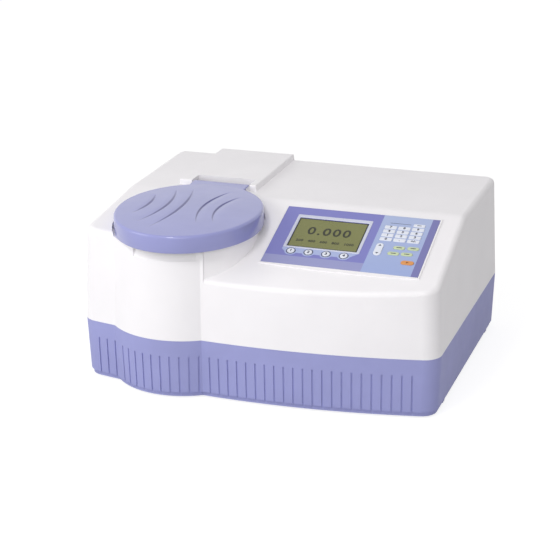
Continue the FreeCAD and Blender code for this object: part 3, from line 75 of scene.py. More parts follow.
# Materials
NOISE_LOW = 0.3
NOISE_HIGH = 0.7
TONE_SCALE = 18.0
GLOSS_SCALE = 60.0
GLOSS_SPREAD = 0.04
GRAIN_DETAIL = 3.0
MOULDED_GRAIN_HEIGHT = 0.00012
GRAIN_HEIGHT = 0.0001
COAT_ROUGHNESS = 0.11
METAL_TONE_LOW = 0.92
METAL_TONE_HIGH = 1.06
METAL_GLOSS_SPREAD = 0.06
METAL_GRAIN = 0.08
GLASS_TONE_SCALE = 30.0
GLASS_TONE_LOW = 0.98
SILICA_IOR = 1.46
FILM_GRAIN_SCALE = 3000.0
FILM_GRAIN = 0.05


def linear(color):
    """sRGB bytes to the linear values that shaders take."""
    out = []
    for value in color:
        value = value / 255.0
        out.append(value / 12.92 if value <= 0.04045 else ((value + 0.055) / 1.055) ** 2.4)
    return (out[0], out[1], out[2], 1.0)


def scaled(color, factor):
    return (color[0] * factor, color[1] * factor, color[2] * factor, 1.0)


def grey(value):
    return (value, value, value, 1.0)


def new_material(name):
    material = bpy.data.materials.new(name)
    material.use_nodes = True
    tree = material.node_tree
    shader = tree.nodes["Principled BSDF"]
    return material, tree, shader


def coordinates(tree):
    return tree.nodes.new("ShaderNodeTexCoord").outputs["Object"]


def noise(tree, source, scale, detail=2.0):
    node = tree.nodes.new("ShaderNodeTexNoise")
    node.inputs["Scale"].default_value = scale
    node.inputs["Detail"].default_value = detail
    tree.links.new(source, node.inputs["Vector"])
    return node.outputs["Fac"]


def ramp(tree, source, low, high, start=NOISE_LOW, end=NOISE_HIGH):
    """Blends from one linear colour to another while the source goes from start to end."""
    node = tree.nodes.new("ShaderNodeValToRGB")
    for element, place, color in zip(node.color_ramp.elements, (start, end), (low, high)):
        element.position = place
        element.color = color
    tree.links.new(source, node.inputs["Fac"])
    return node.outputs["Color"]


def bump(tree, shader, source, strength, distance):
    node = tree.nodes.new("ShaderNodeBump")
    node.inputs["Strength"].default_value = strength
    node.inputs["Distance"].default_value = distance
    tree.links.new(source, node.inputs["Height"])
    tree.links.new(node.outputs["Normal"], shader.inputs["Normal"])


def above(tree, source, level):
    """1 where the source is greater than the level, and 0 elsewhere."""
    node = tree.nodes.new("ShaderNodeMath")
    node.operation = "GREATER_THAN"
    node.inputs[1].default_value = level
    tree.links.new(source, node.inputs[0])
    return node.outputs[0]


def mixed(tree, share, first, second):
    """The first colour where the share is 0 and the second where it is 1."""
    node = tree.nodes.new("ShaderNodeMix")
    node.data_type = "RGBA"
    tree.links.new(share, node.inputs["Factor"])
    for socket, value in ((node.inputs["A"], first), (node.inputs["B"], second)):
        if isinstance(value, tuple):
            socket.default_value = value
        else:
            tree.links.new(value, socket)
    return node.outputs["Result"]


def moulded(name, color, roughness, grain=2600.0, strength=0.12, spread=0.03, coat=0.0, shine=0.35):
    """Moulded plastic: a fine grain in the surface and a faint drift of tone."""
    material, tree, shader = new_material(name)
    where = coordinates(tree)
    base = linear(color)
    tone = ramp(tree, noise(tree, where, TONE_SCALE), scaled(base, 1 - spread), scaled(base, 1 + spread))
    tree.links.new(tone, shader.inputs["Base Color"])
    rough = ramp(tree, noise(tree, where, GLOSS_SCALE), grey(roughness - GLOSS_SPREAD),
                 grey(roughness + GLOSS_SPREAD))
    tree.links.new(rough, shader.inputs["Roughness"])
    shader.inputs["Coat Weight"].default_value = coat
    shader.inputs["Coat Roughness"].default_value = COAT_ROUGHNESS
    shader.inputs["Specular IOR Level"].default_value = shine
    bump(tree, shader, noise(tree, where, grain, GRAIN_DETAIL), strength, MOULDED_GRAIN_HEIGHT)
    return material


def fluted(name, color, roughness, painted_shade_color):
    """Glossy moulded plastic with painted shade in the lid's flute grooves, as far as the mesh says."""
    material = moulded(name, color, roughness, coat=0.75, shine=0.12)
    tree = material.node_tree
    shader = tree.nodes["Principled BSDF"]
    plain = shader.inputs["Base Color"].links[0].from_socket
    line = tree.nodes.new("ShaderNodeAttribute")
    line.attribute_name = "flute_painted_shade"
    whole = mixed(tree, line.outputs["Fac"], plain, linear(painted_shade_color))
    tree.links.new(whole, shader.inputs["Base Color"])
    return material


def metal(name, color, roughness, grain=(900.0, 900.0, 40.0)):
    """Brushed or cast metal, with its grain drawn out along one direction."""
    material, tree, shader = new_material(name)
    mapping = tree.nodes.new("ShaderNodeMapping")
    mapping.inputs["Scale"].default_value = grain
    tree.links.new(coordinates(tree), mapping.inputs["Vector"])
    drift = noise(tree, mapping.outputs["Vector"], 1.0, GRAIN_DETAIL)
    base = linear(color)
    tone = ramp(tree, drift, scaled(base, METAL_TONE_LOW), scaled(base, METAL_TONE_HIGH))
    tree.links.new(tone, shader.inputs["Base Color"])
    rough = ramp(tree, drift, grey(roughness - METAL_GLOSS_SPREAD), grey(roughness + METAL_GLOSS_SPREAD))
    tree.links.new(rough, shader.inputs["Roughness"])
    shader.inputs["Metallic"].default_value = 1.0
    bump(tree, shader, drift, METAL_GRAIN, GRAIN_HEIGHT)
    return material


def glass(name, color):
    """Clear fused silica with a faint drift of tone."""
    material, tree, shader = new_material(name)
    base = linear(color)
    drift = noise(tree, coordinates(tree), GLASS_TONE_SCALE)
    tone = ramp(tree, drift, scaled(base, GLASS_TONE_LOW), base)
    tree.links.new(tone, shader.inputs["Base Color"])
    shader.inputs["Transmission Weight"].default_value = 0.9
    shader.inputs["Roughness"].default_value = 0.03
    shader.inputs["IOR"].default_value = SILICA_IOR
    return material


# The panel's print, in millimetres along and across the deck, with its colours
BAND_END = 48.0
KEY_STRIP_START = 148.0
EDGE_STRIP_START = 220.5
STRIP_FADE_START = 30.0
STRIP_FADE_END = 166.0
BAND_COLOR = (150, 153, 200)
FIELD_COLOR = (124, 125, 194)
KEY_STRIP_NEAR = (158, 174, 220)
KEY_STRIP_FAR = (172, 186, 222)
EDGE_STRIP_COLOR = (118, 118, 176)


def printed_panel(name):
    """The panel's printed film: a violet field, a paler band along its foot, a pale
    blue strip under the keys and a dark edge strip."""
    material, tree, shader = new_material(name)
    where = coordinates(tree)
    mapping = tree.nodes.new("ShaderNodeMapping")
    mapping.vector_type = "TEXTURE"
    mapping.inputs["Location"].default_value = DECK_ORIGIN
    mapping.inputs["Rotation"].default_value = (DECK_ANGLE, 0.0, 0.0)
    tree.links.new(where, mapping.inputs["Vector"])
    split = tree.nodes.new("ShaderNodeSeparateXYZ")
    tree.links.new(mapping.outputs["Vector"], split.inputs[0])
    across = split.outputs[0]
    along = split.outputs[1]
    fade = tree.nodes.new("ShaderNodeMapRange")
    fade.inputs["From Min"].default_value = STRIP_FADE_START * MM
    fade.inputs["From Max"].default_value = STRIP_FADE_END * MM
    tree.links.new(along, fade.inputs["Value"])
    field = mixed(tree, above(tree, along, BAND_END * MM), linear(BAND_COLOR), linear(FIELD_COLOR))
    strip = ramp(tree, fade.outputs["Result"], linear(KEY_STRIP_NEAR), linear(KEY_STRIP_FAR), 0.0, 1.0)
    left = mixed(tree, above(tree, across, KEY_STRIP_START * MM), field, strip)
    whole = mixed(tree, above(tree, across, EDGE_STRIP_START * MM), left, linear(EDGE_STRIP_COLOR))
    tree.links.new(whole, shader.inputs["Base Color"])
    rough = ramp(tree, noise(tree, where, GLOSS_SCALE), grey(0.30), grey(0.36))
    tree.links.new(rough, shader.inputs["Roughness"])
    bump(tree, shader, noise(tree, where, FILM_GRAIN_SCALE, GRAIN_DETAIL), FILM_GRAIN, GRAIN_HEIGHT)
    return material


LOOKS = {
    "white_housing": moulded("white_housing", (246, 244, 246), 0.42, spread=0.012),
    "violet_housing": moulded("violet_housing", (159, 162, 211), 0.50, shine=0.12),
    # The lid's violet; the last colour is the painted shade in its flute grooves.
    "violet_lid": fluted("violet_lid", (150, 153, 205), 0.34, (78, 78, 138)),
    "black_foam": moulded("black_foam", (38, 38, 40), 0.9, 900.0, 0.5),
    "black_rubber": moulded("black_rubber", (36, 36, 38), 0.75, 1200.0, 0.25),
    "screw_steel": metal("screw_steel", (196, 197, 200), 0.32),
    "bracket_steel": metal("bracket_steel", (188, 190, 194), 0.30),
    "black_plastic": moulded("black_plastic", (34, 34, 37), 0.5),
    "black_gloss": moulded("black_gloss", (28, 28, 30), 0.2, 1500.0, 0.03),
    "quartz_glass": glass("quartz_glass", (246, 250, 255)),
    "black_anodised": metal("black_anodised", (52, 52, 56), 0.45),
    "motor_metal": metal("motor_metal", (160, 162, 166), 0.38),
    "violet_panel": printed_panel("violet_panel"),
    "silver_bezel": moulded("silver_bezel", (208, 211, 228), 0.3, 3000.0, 0.04),
    "olive_screen": moulded("olive_screen", (124, 126, 75), 0.28, 3000.0, 0.02),
    "circuit_board": moulded("circuit_board", (34, 98, 62), 0.4),
    "cast_aluminium": metal("cast_aluminium", (178, 180, 184), 0.5, (300.0, 300.0, 300.0)),
    "sheet_aluminium": metal("sheet_aluminium", (200, 202, 205), 0.36),
    "front_mirror": metal("front_mirror", (228, 230, 234), 0.08, (20.0, 20.0, 20.0)),
    "white_key": moulded("white_key", (230, 234, 244), 0.4),
    "green_key": moulded("green_key", (200, 214, 172), 0.4),
    "orange_key": moulded("orange_key", (222, 152, 88), 0.4),
    # Ink on the screen; the same dark colour also serves as the painted shade round the screen's edges.
    "screen_ink_and_shade": moulded("screen_ink_and_shade", (44, 46, 31), 0.35, 3000.0, 0.02),
    "dark_print": moulded("dark_print", (56, 58, 78), 0.45, 3000.0, 0.02),
    "brown_print": moulded("brown_print", (150, 84, 38), 0.45, 3000.0, 0.02),
    "pale_print": moulded("pale_print", (172, 184, 224), 0.32, 3000.0, 0.03),
}

for subpart in frame["record"]["subparts"]:
    target = nodes[subpart["node"]]
    look = LOOKS[subpart["material_slot"]]
    if len(target.data.materials) == 0:
        target.data.materials.append(look)
    for index in range(len(target.data.materials)):
        target.data.materials[index] = look

# Building pieces
ROUND_SLACK = 0.01
DISC_STEPS = 8
MARK_THICKNESS = 0.04
LEGEND_LIFT = 0.01
PRINT_THICKNESS = 0.03
PRINT_CURVE_STEPS = 3


def finish_piece(name, builder, look, body, place, smooth=False):
    """Turns a bmesh into a piece that rides on a body and takes its finish from a slot."""
    bmesh.ops.transform(builder, matrix=place, verts=builder.verts[:])
    bmesh.ops.recalc_face_normals(builder, faces=builder.faces[:])
    mesh = bpy.data.meshes.new(name)
    builder.to_mesh(mesh)
    builder.free()
    thing = bpy.data.objects.new(name, mesh)
    bpy.context.scene.collection.objects.link(thing)
    mesh.materials.append(LOOKS[look])
    if smooth:
        for polygon in mesh.polygons:
            polygon.use_smooth = True
    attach(thing, body)
    return thing


def rounded_loop(cx, cy, width, length, radius, steps=6):
    """Points round a rectangle with round corners, anticlockwise, in millimetres."""
    half_w = width / 2 - radius
    half_l = length / 2 - radius
    points = []
    for turn, (sx, sy) in enumerate(((1, 1), (-1, 1), (-1, -1), (1, -1))):
        for step in range(steps + 1):
            angle = math.pi / 2 * (turn + step / steps)
            points.append((cx + sx * half_w + radius * math.cos(angle),
                           cy + sy * half_l + radius * math.sin(angle)))
    return points


def disc_loop(cx, cy, width):
    return rounded_loop(cx, cy, width, width, width / 2 - ROUND_SLACK, DISC_STEPS)


def ring_of(builder, points, height):
    return [builder.verts.new((x * MM, y * MM, height * MM)) for x, y in points]


def bridge(builder, low, high):
    """Joins two loops of as many vertices by a belt of faces."""
    count = len(low)
    for index in range(count):
        after = (index + 1) % count
        builder.faces.new((low[index], low[after], high[after], high[index]))


def bridge_all(builder, rings):
    for low, high in zip(rings, rings[1:]):
        bridge(builder, low, high)


def close_ends(builder, rings):
    builder.faces.new(rings[-1])
    builder.faces.new(list(reversed(rings[0])))


def film(name, loops, low, high, look, body="root"):
    """A thin flat plate on the deck: the first loop is its outline, the rest are holes."""
    builder = bmesh.new()
    for points in loops:
        corners = ring_of(builder, points, high)
        for index in range(len(corners)):
            builder.edges.new((corners[index - 1], corners[index]))
    bmesh.ops.triangle_fill(builder, use_beauty=True, use_dissolve=False, edges=builder.edges[:])
    grown = bmesh.ops.extrude_face_region(builder, geom=builder.faces[:])
    moved = [part for part in grown["geom"] if isinstance(part, bmesh.types.BMVert)]
    bmesh.ops.translate(builder, verts=moved, vec=(0.0, 0.0, (low - high) * MM))
    return finish_piece(name, builder, look, body, DECK)


def mark(name, points, level, look, body="root"):
    """A small flat printed mark."""
    return film(name, [points], level, level + MARK_THICKNESS, look, body)


def writing(name, text, across, along, size, level, look, body="root", spread=1.0, weight=0.018):
    """Generic numerals as thin raised print, centred on a place of the deck."""
    curve = bpy.data.curves.new(name, "FONT")
    curve.body = text
    curve.size = size * MM
    curve.align_x = "CENTER"
    curve.align_y = "CENTER"
    curve.space_character = spread
    curve.extrude = PRINT_THICKNESS * MM
    curve.offset = weight * size * MM
    curve.resolution_u = PRINT_CURVE_STEPS
    maker = bpy.data.objects.new(name + "_maker", curve)
    mesh = bpy.data.meshes.new_from_object(maker)
    bpy.data.objects.remove(maker)
    bpy.data.curves.remove(curve)
    builder = bmesh.new()
    builder.from_mesh(mesh)
    bpy.data.meshes.remove(mesh)
    place = DECK @ Matrix.Translation((across * MM, along * MM, level * MM))
    return finish_piece(name, builder, look, body, place)


# Sample lid, in millimetres from the middle of its oval, at its lower edge
LID_X = -123.8
LID_Y = -101.8
LID_BASE = 227.9
LID_TILT = math.radians(1.2)
LID_PLACE = (Matrix.Translation((LID_X * MM, LID_Y * MM, LID_BASE * MM))
             @ Matrix.Rotation(LID_TILT, 4, "X"))
LID_HALF_W = 107.5
LID_HALF_L = 121.7
LID_SIDE = 25.5
LID_CROWN = 3.2
LID_DOME = (LID_HALF_L ** 2 + LID_CROWN ** 2) / (2 * LID_CROWN)
LID_ROLL = 3.6
LID_ROLL_STEPS = 9
LID_WALL = 3.0
LID_CEILING = LID_SIDE - LID_WALL
LID_CEILING_EDGE = 20.0
LID_RING_POINTS = 480
LID_RING_STEP = 0.8
LID_RING_END = 1.0
# The lid's section from its ceiling down the hollow and round the lower lip, as (inset, height)
LID_SECTION = ((LID_WALL + LID_CEILING_EDGE, LID_CEILING), (LID_WALL, LID_CEILING), (LID_WALL, 0.8),
               (LID_WALL - 0.5, 0.15), (LID_WALL - 1.0, 0.0), (0.9, 0.0), (0.25, 0.2), (0.0, 0.8))
# Each flute: the side it bends to, apex across, apex back, bend radius and half length
FLUTES = ((1, -62.0, 2.0, 105.0, 44.0), (1, -33.5, 1.0, 174.0, 75.0), (1, -9.8, -4.0, 250.0, 88.0),
          (-1, 17.3, 16.0, 176.0, 73.0), (-1, 41.2, 10.0, 127.0, 58.0))
FLUTE_DEPTH = 1.4
FLUTE_FADE = 14.0
FLUTE_LIP = 0.7
FLUTE_FADE_POWER = 2.2
FLUTE_TAPER_POWER = 0.8
# How far inside its lip the painted shade of a flute's groove lies and half its width, by the side it
# bends to
FLUTE_SHADE_LINES = {1: (1.9, 3.7), -1: (0.6, 1.8)}
SHADE_LEAST_WIDTH = 0.2
SHADE_STRENGTH = 1.4
TONGUE_HALF_W = 44.5
TONGUE_SINK = 21.0
TONGUE_REACH = 15.6
TONGUE_UNDERSIDE = LID_SIDE - 4.2
TONGUE_TOP = LID_SIDE - 1.2
TONGUE_ROUND = 1.2
TONGUE_END_ROUND = 0.7 * TONGUE_ROUND
TONGUE_STEPS = 4
HINGE_BACK = LID_HALF_L + 7.0
HINGE_UP = LID_SIDE - 10.6
KNUCKLE_START = 25.0
KNUCKLE_LENGTH = 15.0
KNUCKLE_RADIUS = 6.6
KNUCKLE_BORE = 3.05
KNUCKLE_EDGE = 0.4
KNUCKLE_STEPS = 40


def eased(value):
    """A smooth step from 0 to 1 while the value goes from 0 to 1."""
    value = min(max(value, 0.0), 1.0)
    return value * value * (3.0 - 2.0 * value)


def flute_at(x, y):
    """How far the lid's top lies below its dome, in millimetres, and how much painted shade its flute's
    groove gets there.
    """
    drop = 0.0
    line = 0.0
    for side, apex_x, apex_y, bend, half in FLUTES:
        dx = side * (x - (apex_x - side * bend))
        dy = y - apex_y
        inward = bend - math.hypot(dx, dy)
        turn = abs(math.atan2(dy, dx)) / math.asin(half / bend)
        if turn >= 1.0 or inward > FLUTE_FADE:
            continue
        lip = eased((inward + FLUTE_LIP) / (2 * FLUTE_LIP))
        fade = (1.0 - max(inward - FLUTE_LIP, 0.0) / (FLUTE_FADE - FLUTE_LIP)) ** FLUTE_FADE_POWER
        taper = (1.0 - turn * turn) ** FLUTE_TAPER_POWER
        drop = max(drop, FLUTE_DEPTH * lip * fade * taper)
        # The painted shade: a dark band along the lip of each flute's groove.
        inset, half_width = FLUTE_SHADE_LINES[side]
        width = half_width * taper + SHADE_LEAST_WIDTH
        nearness = 1.0 - abs(inward - inset * taper) / width
        line = max(line, eased(SHADE_STRENGTH * nearness) * taper ** 0.5)
    return drop, line


def lid_height(x, y):
    """The height of the lid's crowned top without its flutes."""
    return LID_SIDE + LID_CROWN - (x * x + y * y) / (2 * LID_DOME)


def oval_ring(inset):
    points = []
    for index in range(LID_RING_POINTS):
        angle = 2 * math.pi * index / LID_RING_POINTS
        points.append(((LID_HALF_W - inset) * math.cos(angle), (LID_HALF_L - inset) * math.sin(angle)))
    return points


def lid_shell():
    """The oval lid: its hollow, a rolled rim and a crowned top with five crescent flutes."""
    builder = bmesh.new()
    # Each vertex of the top keeps how much painted shade its flute groove gets.
    shade = builder.verts.layers.float.new("flute_painted_shade")
    rings = [ring_of(builder, oval_ring(inset), height) for inset, height in LID_SECTION]
    for step in range(LID_ROLL_STEPS):
        turn = math.pi / 2 * step / LID_ROLL_STEPS
        inset = LID_ROLL * (1 - math.cos(turn))
        drop = LID_ROLL * (1 - math.sin(turn))
        rings.append([builder.verts.new((x * MM, y * MM, (lid_height(x, y) - drop) * MM))
                      for x, y in oval_ring(inset)])
    inset = LID_ROLL
    while inset < LID_HALF_W - LID_RING_END:
        ring = []
        for x, y in oval_ring(inset):
            drop, line = flute_at(x, y)
            vertex = builder.verts.new((x * MM, y * MM, (lid_height(x, y) - drop) * MM))
            vertex[shade] = line
            ring.append(vertex)
        rings.append(ring)
        inset += LID_RING_STEP
    bridge_all(builder, rings)
    close_ends(builder, rings)
    return builder


def lid_tongue():
    """The tongue behind the lid: a flat bar along X with rounded edges and ends."""
    builder = bmesh.new()
    y0 = LID_HALF_L - TONGUE_SINK
    y1 = LID_HALF_L + TONGUE_REACH
    z0 = TONGUE_UNDERSIDE
    z1 = TONGUE_TOP
    loop = rounded_loop((y0 + y1) / 2, (z0 + z1) / 2, y1 - y0, z1 - z0, TONGUE_ROUND, TONGUE_STEPS)
    straight = TONGUE_HALF_W - TONGUE_END_ROUND
    rings = []
    for x, inset in ((-TONGUE_HALF_W, TONGUE_END_ROUND), (-straight, 0.0), (straight, 0.0),
                     (TONGUE_HALF_W, TONGUE_END_ROUND)):
        ring = []
        for y, z in loop:
            y = min(max(y, y0 + inset), y1 - inset)
            z = min(max(z, z0 + inset), z1 - inset)
            ring.append(builder.verts.new((x * MM, y * MM, z * MM)))
        rings.append(ring)
    bridge_all(builder, rings)
    close_ends(builder, rings)
    return builder


def knuckle(builder, start, end):
    """A hinge barrel with its bore, from start to end along X."""
    rings = []
    for x, radius in ((start, KNUCKLE_BORE), (start, KNUCKLE_RADIUS - KNUCKLE_EDGE),
                      (start + KNUCKLE_EDGE, KNUCKLE_RADIUS), (end - KNUCKLE_EDGE, KNUCKLE_RADIUS),
                      (end, KNUCKLE_RADIUS - KNUCKLE_EDGE), (end, KNUCKLE_BORE)):
        ring = []
        for step in range(KNUCKLE_STEPS):
            angle = 2 * math.pi * step / KNUCKLE_STEPS
            ring.append(builder.verts.new((x * MM, (HINGE_BACK + radius * math.cos(angle)) * MM,
                                           (HINGE_UP + radius * math.sin(angle)) * MM)))
        rings.append(ring)
    bridge_all(builder, rings + rings[:1])


lid = finish_piece("lid_shell", lid_shell(), "violet_lid", "lid", LID_PLACE, smooth=True)
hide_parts("sample_lid")
finish_piece("lid_tongue", lid_tongue(), "violet_lid", "lid", LID_PLACE)
barrels = bmesh.new()
for start in (-KNUCKLE_START - KNUCKLE_LENGTH, KNUCKLE_START):
    knuckle(barrels, start, start + KNUCKLE_LENGTH)
finish_piece("lid_knuckles", barrels, "violet_lid", "lid", LID_PLACE)

# Display, as rectangles of left, right, near and far
(BEZEL_LEFT, BEZEL_RIGHT), (BEZEL_NEAR, BEZEL_FAR) = deck_box("display_bezel")[:2]
SURROUND = (BEZEL_LEFT, BEZEL_RIGHT, BEZEL_NEAR - 0.4, BEZEL_FAR)
WINDOW = (BEZEL_LEFT + 4.6, BEZEL_RIGHT - 4.6, BEZEL_NEAR + 3.0, BEZEL_FAR - 7.0)
# A dark sheet round the screen's edges is painted shade, the shadow of the window's recess, widest at the
# right and at the foot.
SCREEN_SHADE_GAP = 0.35
SCREEN_SHADE_OUTER = (WINDOW[0] + SCREEN_SHADE_GAP, WINDOW[1] - SCREEN_SHADE_GAP, WINDOW[2] + SCREEN_SHADE_GAP, WINDOW[3] - SCREEN_SHADE_GAP)
SCREEN_SHADE_INNER = (WINDOW[0] + 1.2, WINDOW[1] - 2.2, WINDOW[2] + 2.6, WINDOW[3] - 1.0)
SCREEN_SHADE_TOP = SCREEN_TOP + 0.08
SURROUND_TOP = 2.25
# Each frame's section, as (share of the way inwards, height)
SURROUND_SECTION = ((0.0, PANEL_TOP), (0.0, SURROUND_TOP - 0.3), (0.12, SURROUND_TOP),
                    (0.8, SURROUND_TOP), (1.0, PANEL_TOP - 0.1), (1.0, PANEL_TOP - 0.3),
                    (0.8, PANEL_TOP - 0.02))
SCREEN_SHADE_SECTION = ((0.0, SCREEN_TOP), (0.0, SCREEN_SHADE_TOP), (1.0, SCREEN_SHADE_TOP), (1.0, SCREEN_TOP))
FRAME_CORNER_OUTER = 1.6
FRAME_CORNER_INNER = 0.2
FRAME_CORNER_STEPS = 4
DISPLAY_MIDDLE = 78.5
READING_ALONG = 112.0
READING_SIZE = 25.0
READING_SPREAD = 1.2
SCALE_ALONG = 88.0
SCALE_SIZE = 7.0
SCALE_SPREAD = 1.08
SCALE_WEIGHT = 0.035
INK_LEVEL = SCREEN_TOP + 0.04


def frame_ring(name, outer, inner, section, look):
    """A frame between two rectangles, swept through a section."""
    builder = bmesh.new()
    rings = []
    for share, height in section:
        left, right, near, far = [a + (b - a) * share for a, b in zip(outer, inner)]
        corner = FRAME_CORNER_OUTER * (1 - share) + FRAME_CORNER_INNER
        loop = rounded_loop((left + right) / 2, (near + far) / 2, right - left, far - near, corner,
                            FRAME_CORNER_STEPS)
        rings.append(ring_of(builder, loop, height))
    bridge_all(builder, rings + rings[:1])
    return finish_piece(name, builder, look, "root", DECK)


surround = frame_ring("display_surround", SURROUND, WINDOW, SURROUND_SECTION, "silver_bezel")
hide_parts("display_bezel")
# The painted shade round the screen's edges
frame_ring("screen_edge_shade", SCREEN_SHADE_OUTER, SCREEN_SHADE_INNER, SCREEN_SHADE_SECTION, "screen_ink_and_shade")
writing("reading", "0.000", DISPLAY_MIDDLE, READING_ALONG, READING_SIZE, INK_LEVEL, "screen_ink_and_shade",
        spread=READING_SPREAD)
writing("scale_numbers", "200   400   600   800   1000", DISPLAY_MIDDLE, SCALE_ALONG, SCALE_SIZE,
        INK_LEVEL, "screen_ink_and_shade", spread=SCALE_SPREAD, weight=SCALE_WEIGHT)

# Key caps: the edge of a cap as (inset, depth below its top)
CAP_EDGE = ((0.0, 0.6), (0.08, 0.32), (0.26, 0.12), (0.55, 0.02), (0.95, 0.0))
CAP_LEAST_CORNER = 0.3
PAD_CORNER = 1.4
DASH_ROUND = 0.45
DASH_STEPS = 3


def key_cap(node, look, corner=None):
    """A moulded cap with a soft edge in place of the frame's plain key, with round ends
    where no corner is given; returns the cap's middle."""
    across, along, width, length = deck_place(node)
    if corner is None:
        corner = min(width, length) / 2 - ROUND_SLACK
    builder = bmesh.new()
    rings = []
    for inset, height in [(0.0, KEY_LOW)] + [(inset, KEY_TOP - depth) for inset, depth in CAP_EDGE]:
        loop = rounded_loop(across, along, width - 2 * inset, length - 2 * inset,
                            max(corner - inset, CAP_LEAST_CORNER))
        rings.append(ring_of(builder, loop, height))
    bridge_all(builder, rings)
    close_ends(builder, rings)
    cap = finish_piece(node + "_cap", builder, look, node + "_body", DECK, smooth=True)
    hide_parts(node)
    return across, along


def legend(node, text, across, along, size, weight):
    """Numerals on a key's cap, which move with it."""
    writing(node + "_legend", text, across, along, size, KEY_TOP + LEGEND_LIFT, "dark_print",
            node + "_body", weight=weight)


def dash(node, across, along, width, height):
    """A plain bar in the place of a word on a key's cap."""
    loop = rounded_loop(across, along, width, height, height * DASH_ROUND, DASH_STEPS)
    mark(node + "_mark", loop, KEY_TOP, "dark_print", node + "_body")


# The lighter area under the display, which runs round the four soft keys
SOFT_KEYS = ["soft_key_%d" % number for number in (1, 2, 3, 4)]
SOFT_PLACES = [deck_place(node)[:2] for node in SOFT_KEYS]
PALE_AREA_DROP = 5.0
PALE_AREA_LAP = 0.2
PALE_AREA_LOW = PANEL_TOP - 0.05
PALE_AREA_TOP = PANEL_TOP + 0.12
LOBE_RADIUS = 9.4
LOBE_STEPS = 12
LOBE_START = 205.0
LOBE_END = 335.0
FIRST_LOBE_START = 190.0
LAST_LOBE_END = 350.0
SOFT_HOLE = 12.0
SOFT_RING_OUTER = 14.0
SOFT_RING_INNER = 12.1
SOFT_RING_LOW = PANEL_TOP + 0.05
SOFT_RING_TOP = PANEL_TOP + 0.3
SOFT_LEGEND_SIZE = 7.4
SOFT_LEGEND_WEIGHT = 0.04


def lobed_outline():
    """The pale area's outline: straight under the display and in lobes round the keys."""
    top = BEZEL_NEAR + PALE_AREA_LAP
    points = [(BEZEL_LEFT, top), (BEZEL_LEFT, BEZEL_NEAR - PALE_AREA_DROP)]
    for index, (across, along) in enumerate(SOFT_PLACES):
        start = FIRST_LOBE_START if index == 0 else LOBE_START
        end = LAST_LOBE_END if index == len(SOFT_PLACES) - 1 else LOBE_END
        for step in range(LOBE_STEPS + 1):
            angle = math.radians(start + (end - start) * step / LOBE_STEPS)
            points.append((across + LOBE_RADIUS * math.cos(angle), along + LOBE_RADIUS * math.sin(angle)))
    points.append((BEZEL_RIGHT, top))
    return points


soft_holes = [disc_loop(across, along, SOFT_HOLE) for across, along in SOFT_PLACES]
film("soft_key_surround", [lobed_outline()] + soft_holes, PALE_AREA_LOW, PALE_AREA_TOP, "pale_print")
for number, node in enumerate(SOFT_KEYS, start=1):
    across, along = key_cap(node, "white_key")
    legend(node, str(number), across, along, SOFT_LEGEND_SIZE, SOFT_LEGEND_WEIGHT)
    rims = [disc_loop(across, along, SOFT_RING_OUTER), disc_loop(across, along, SOFT_RING_INNER)]
    film(node + "_ring", rims, SOFT_RING_LOW, SOFT_RING_TOP, "dark_print")

# Number keys
PAD_NAMES = ("7", "8", "9", "4", "5", "6", "1", "2", "3", "0", "point", "sign")
PAD_TEXTS = {"point": ".", "sign": "+/-"}
PAD_LEGEND_SIZE = 6.4
PAD_LEGEND_WEIGHT = 0.045
for name in PAD_NAMES:
    node = "number_key_" + name
    across, along = key_cap(node, "white_key", PAD_CORNER)
    legend(node, PAD_TEXTS.get(name, name), across, along, PAD_LEGEND_SIZE, PAD_LEGEND_WEIGHT)

# Wide key, function keys, start key and rocking arrow key, with their marks
CLEAR_DASH_WIDTH = 6.5
CLEAR_DASH_HEIGHT = 1.3
across, along = key_cap("clear_key", "white_key", PAD_CORNER)
dash("clear_key", across, along, CLEAR_DASH_WIDTH, CLEAR_DASH_HEIGHT)

FUNCTION_DASH_WIDTH = 8.0
FUNCTION_DASH_HEIGHT = 1.6
for number in (1, 2, 3, 4):
    node = "function_key_%d" % number
    across, along = key_cap(node, "green_key")
    dash(node, across, along, FUNCTION_DASH_WIDTH, FUNCTION_DASH_HEIGHT)

START_BACK = 1.7
START_TIP = 2.7
START_HALF = 2.2
across, along = key_cap("start_key", "orange_key")
mark("start_key_mark", [(across - START_BACK, along - START_HALF), (across + START_TIP, along),
                        (across - START_BACK, along + START_HALF)],
     KEY_TOP, "brown_print", "start_key_body")

ARROW_HALF = 2.4
ARROW_FOOT = 7.8
ARROW_TIP = 11.4
across, along = key_cap("arrow_key", "white_key")
for name, way in (("arrow_up_mark", 1), ("arrow_down_mark", -1)):
    mark(name, [(across - ARROW_HALF, along + way * ARROW_FOOT),
                (across + ARROW_HALF, along + way * ARROW_FOOT), (across, along + way * ARROW_TIP)],
         KEY_TOP, "dark_print", "arrow_key_body")

# The printed rule above the number keys
RULE_LEFT = 161.0
RULE_RIGHT = 192.0
RULE_NEAR = 148.2
RULE_FAR = 149.0
mark("panel_rule", [(RULE_LEFT, RULE_NEAR), (RULE_RIGHT, RULE_NEAR), (RULE_RIGHT, RULE_FAR),
                    (RULE_LEFT, RULE_FAR)], PANEL_TOP, "dark_print")

# Stage, in metres
LAMP_AIM = Vector((-0.02, -0.05, 0.13))
FLOOR_HALF = 12.0
FLOOR_TONE = 0.62
PAGE_TONE = 0.36
PAGE_GLOW = 0.81
SKY_COLOR = (1.0, 0.99, 1.0, 1.0)
SKY_STRENGTH = 0.53
WHITE = (1.0, 1.0, 1.0, 1.0)
PAGE_STRENGTH = 1.0


def seen_directly(tree):
    """1 for camera, glossy and transmission rays, which see the white page; 0 for light."""
    path = tree.nodes.new("ShaderNodeLightPath")
    total = path.outputs["Is Camera Ray"]
    for ray in ("Is Glossy Ray", "Is Transmission Ray"):
        greater = tree.nodes.new("ShaderNodeMath")
        greater.operation = "MAXIMUM"
        tree.links.new(total, greater.inputs[0])
        tree.links.new(path.outputs[ray], greater.inputs[1])
        total = greater.outputs[0]
    return total


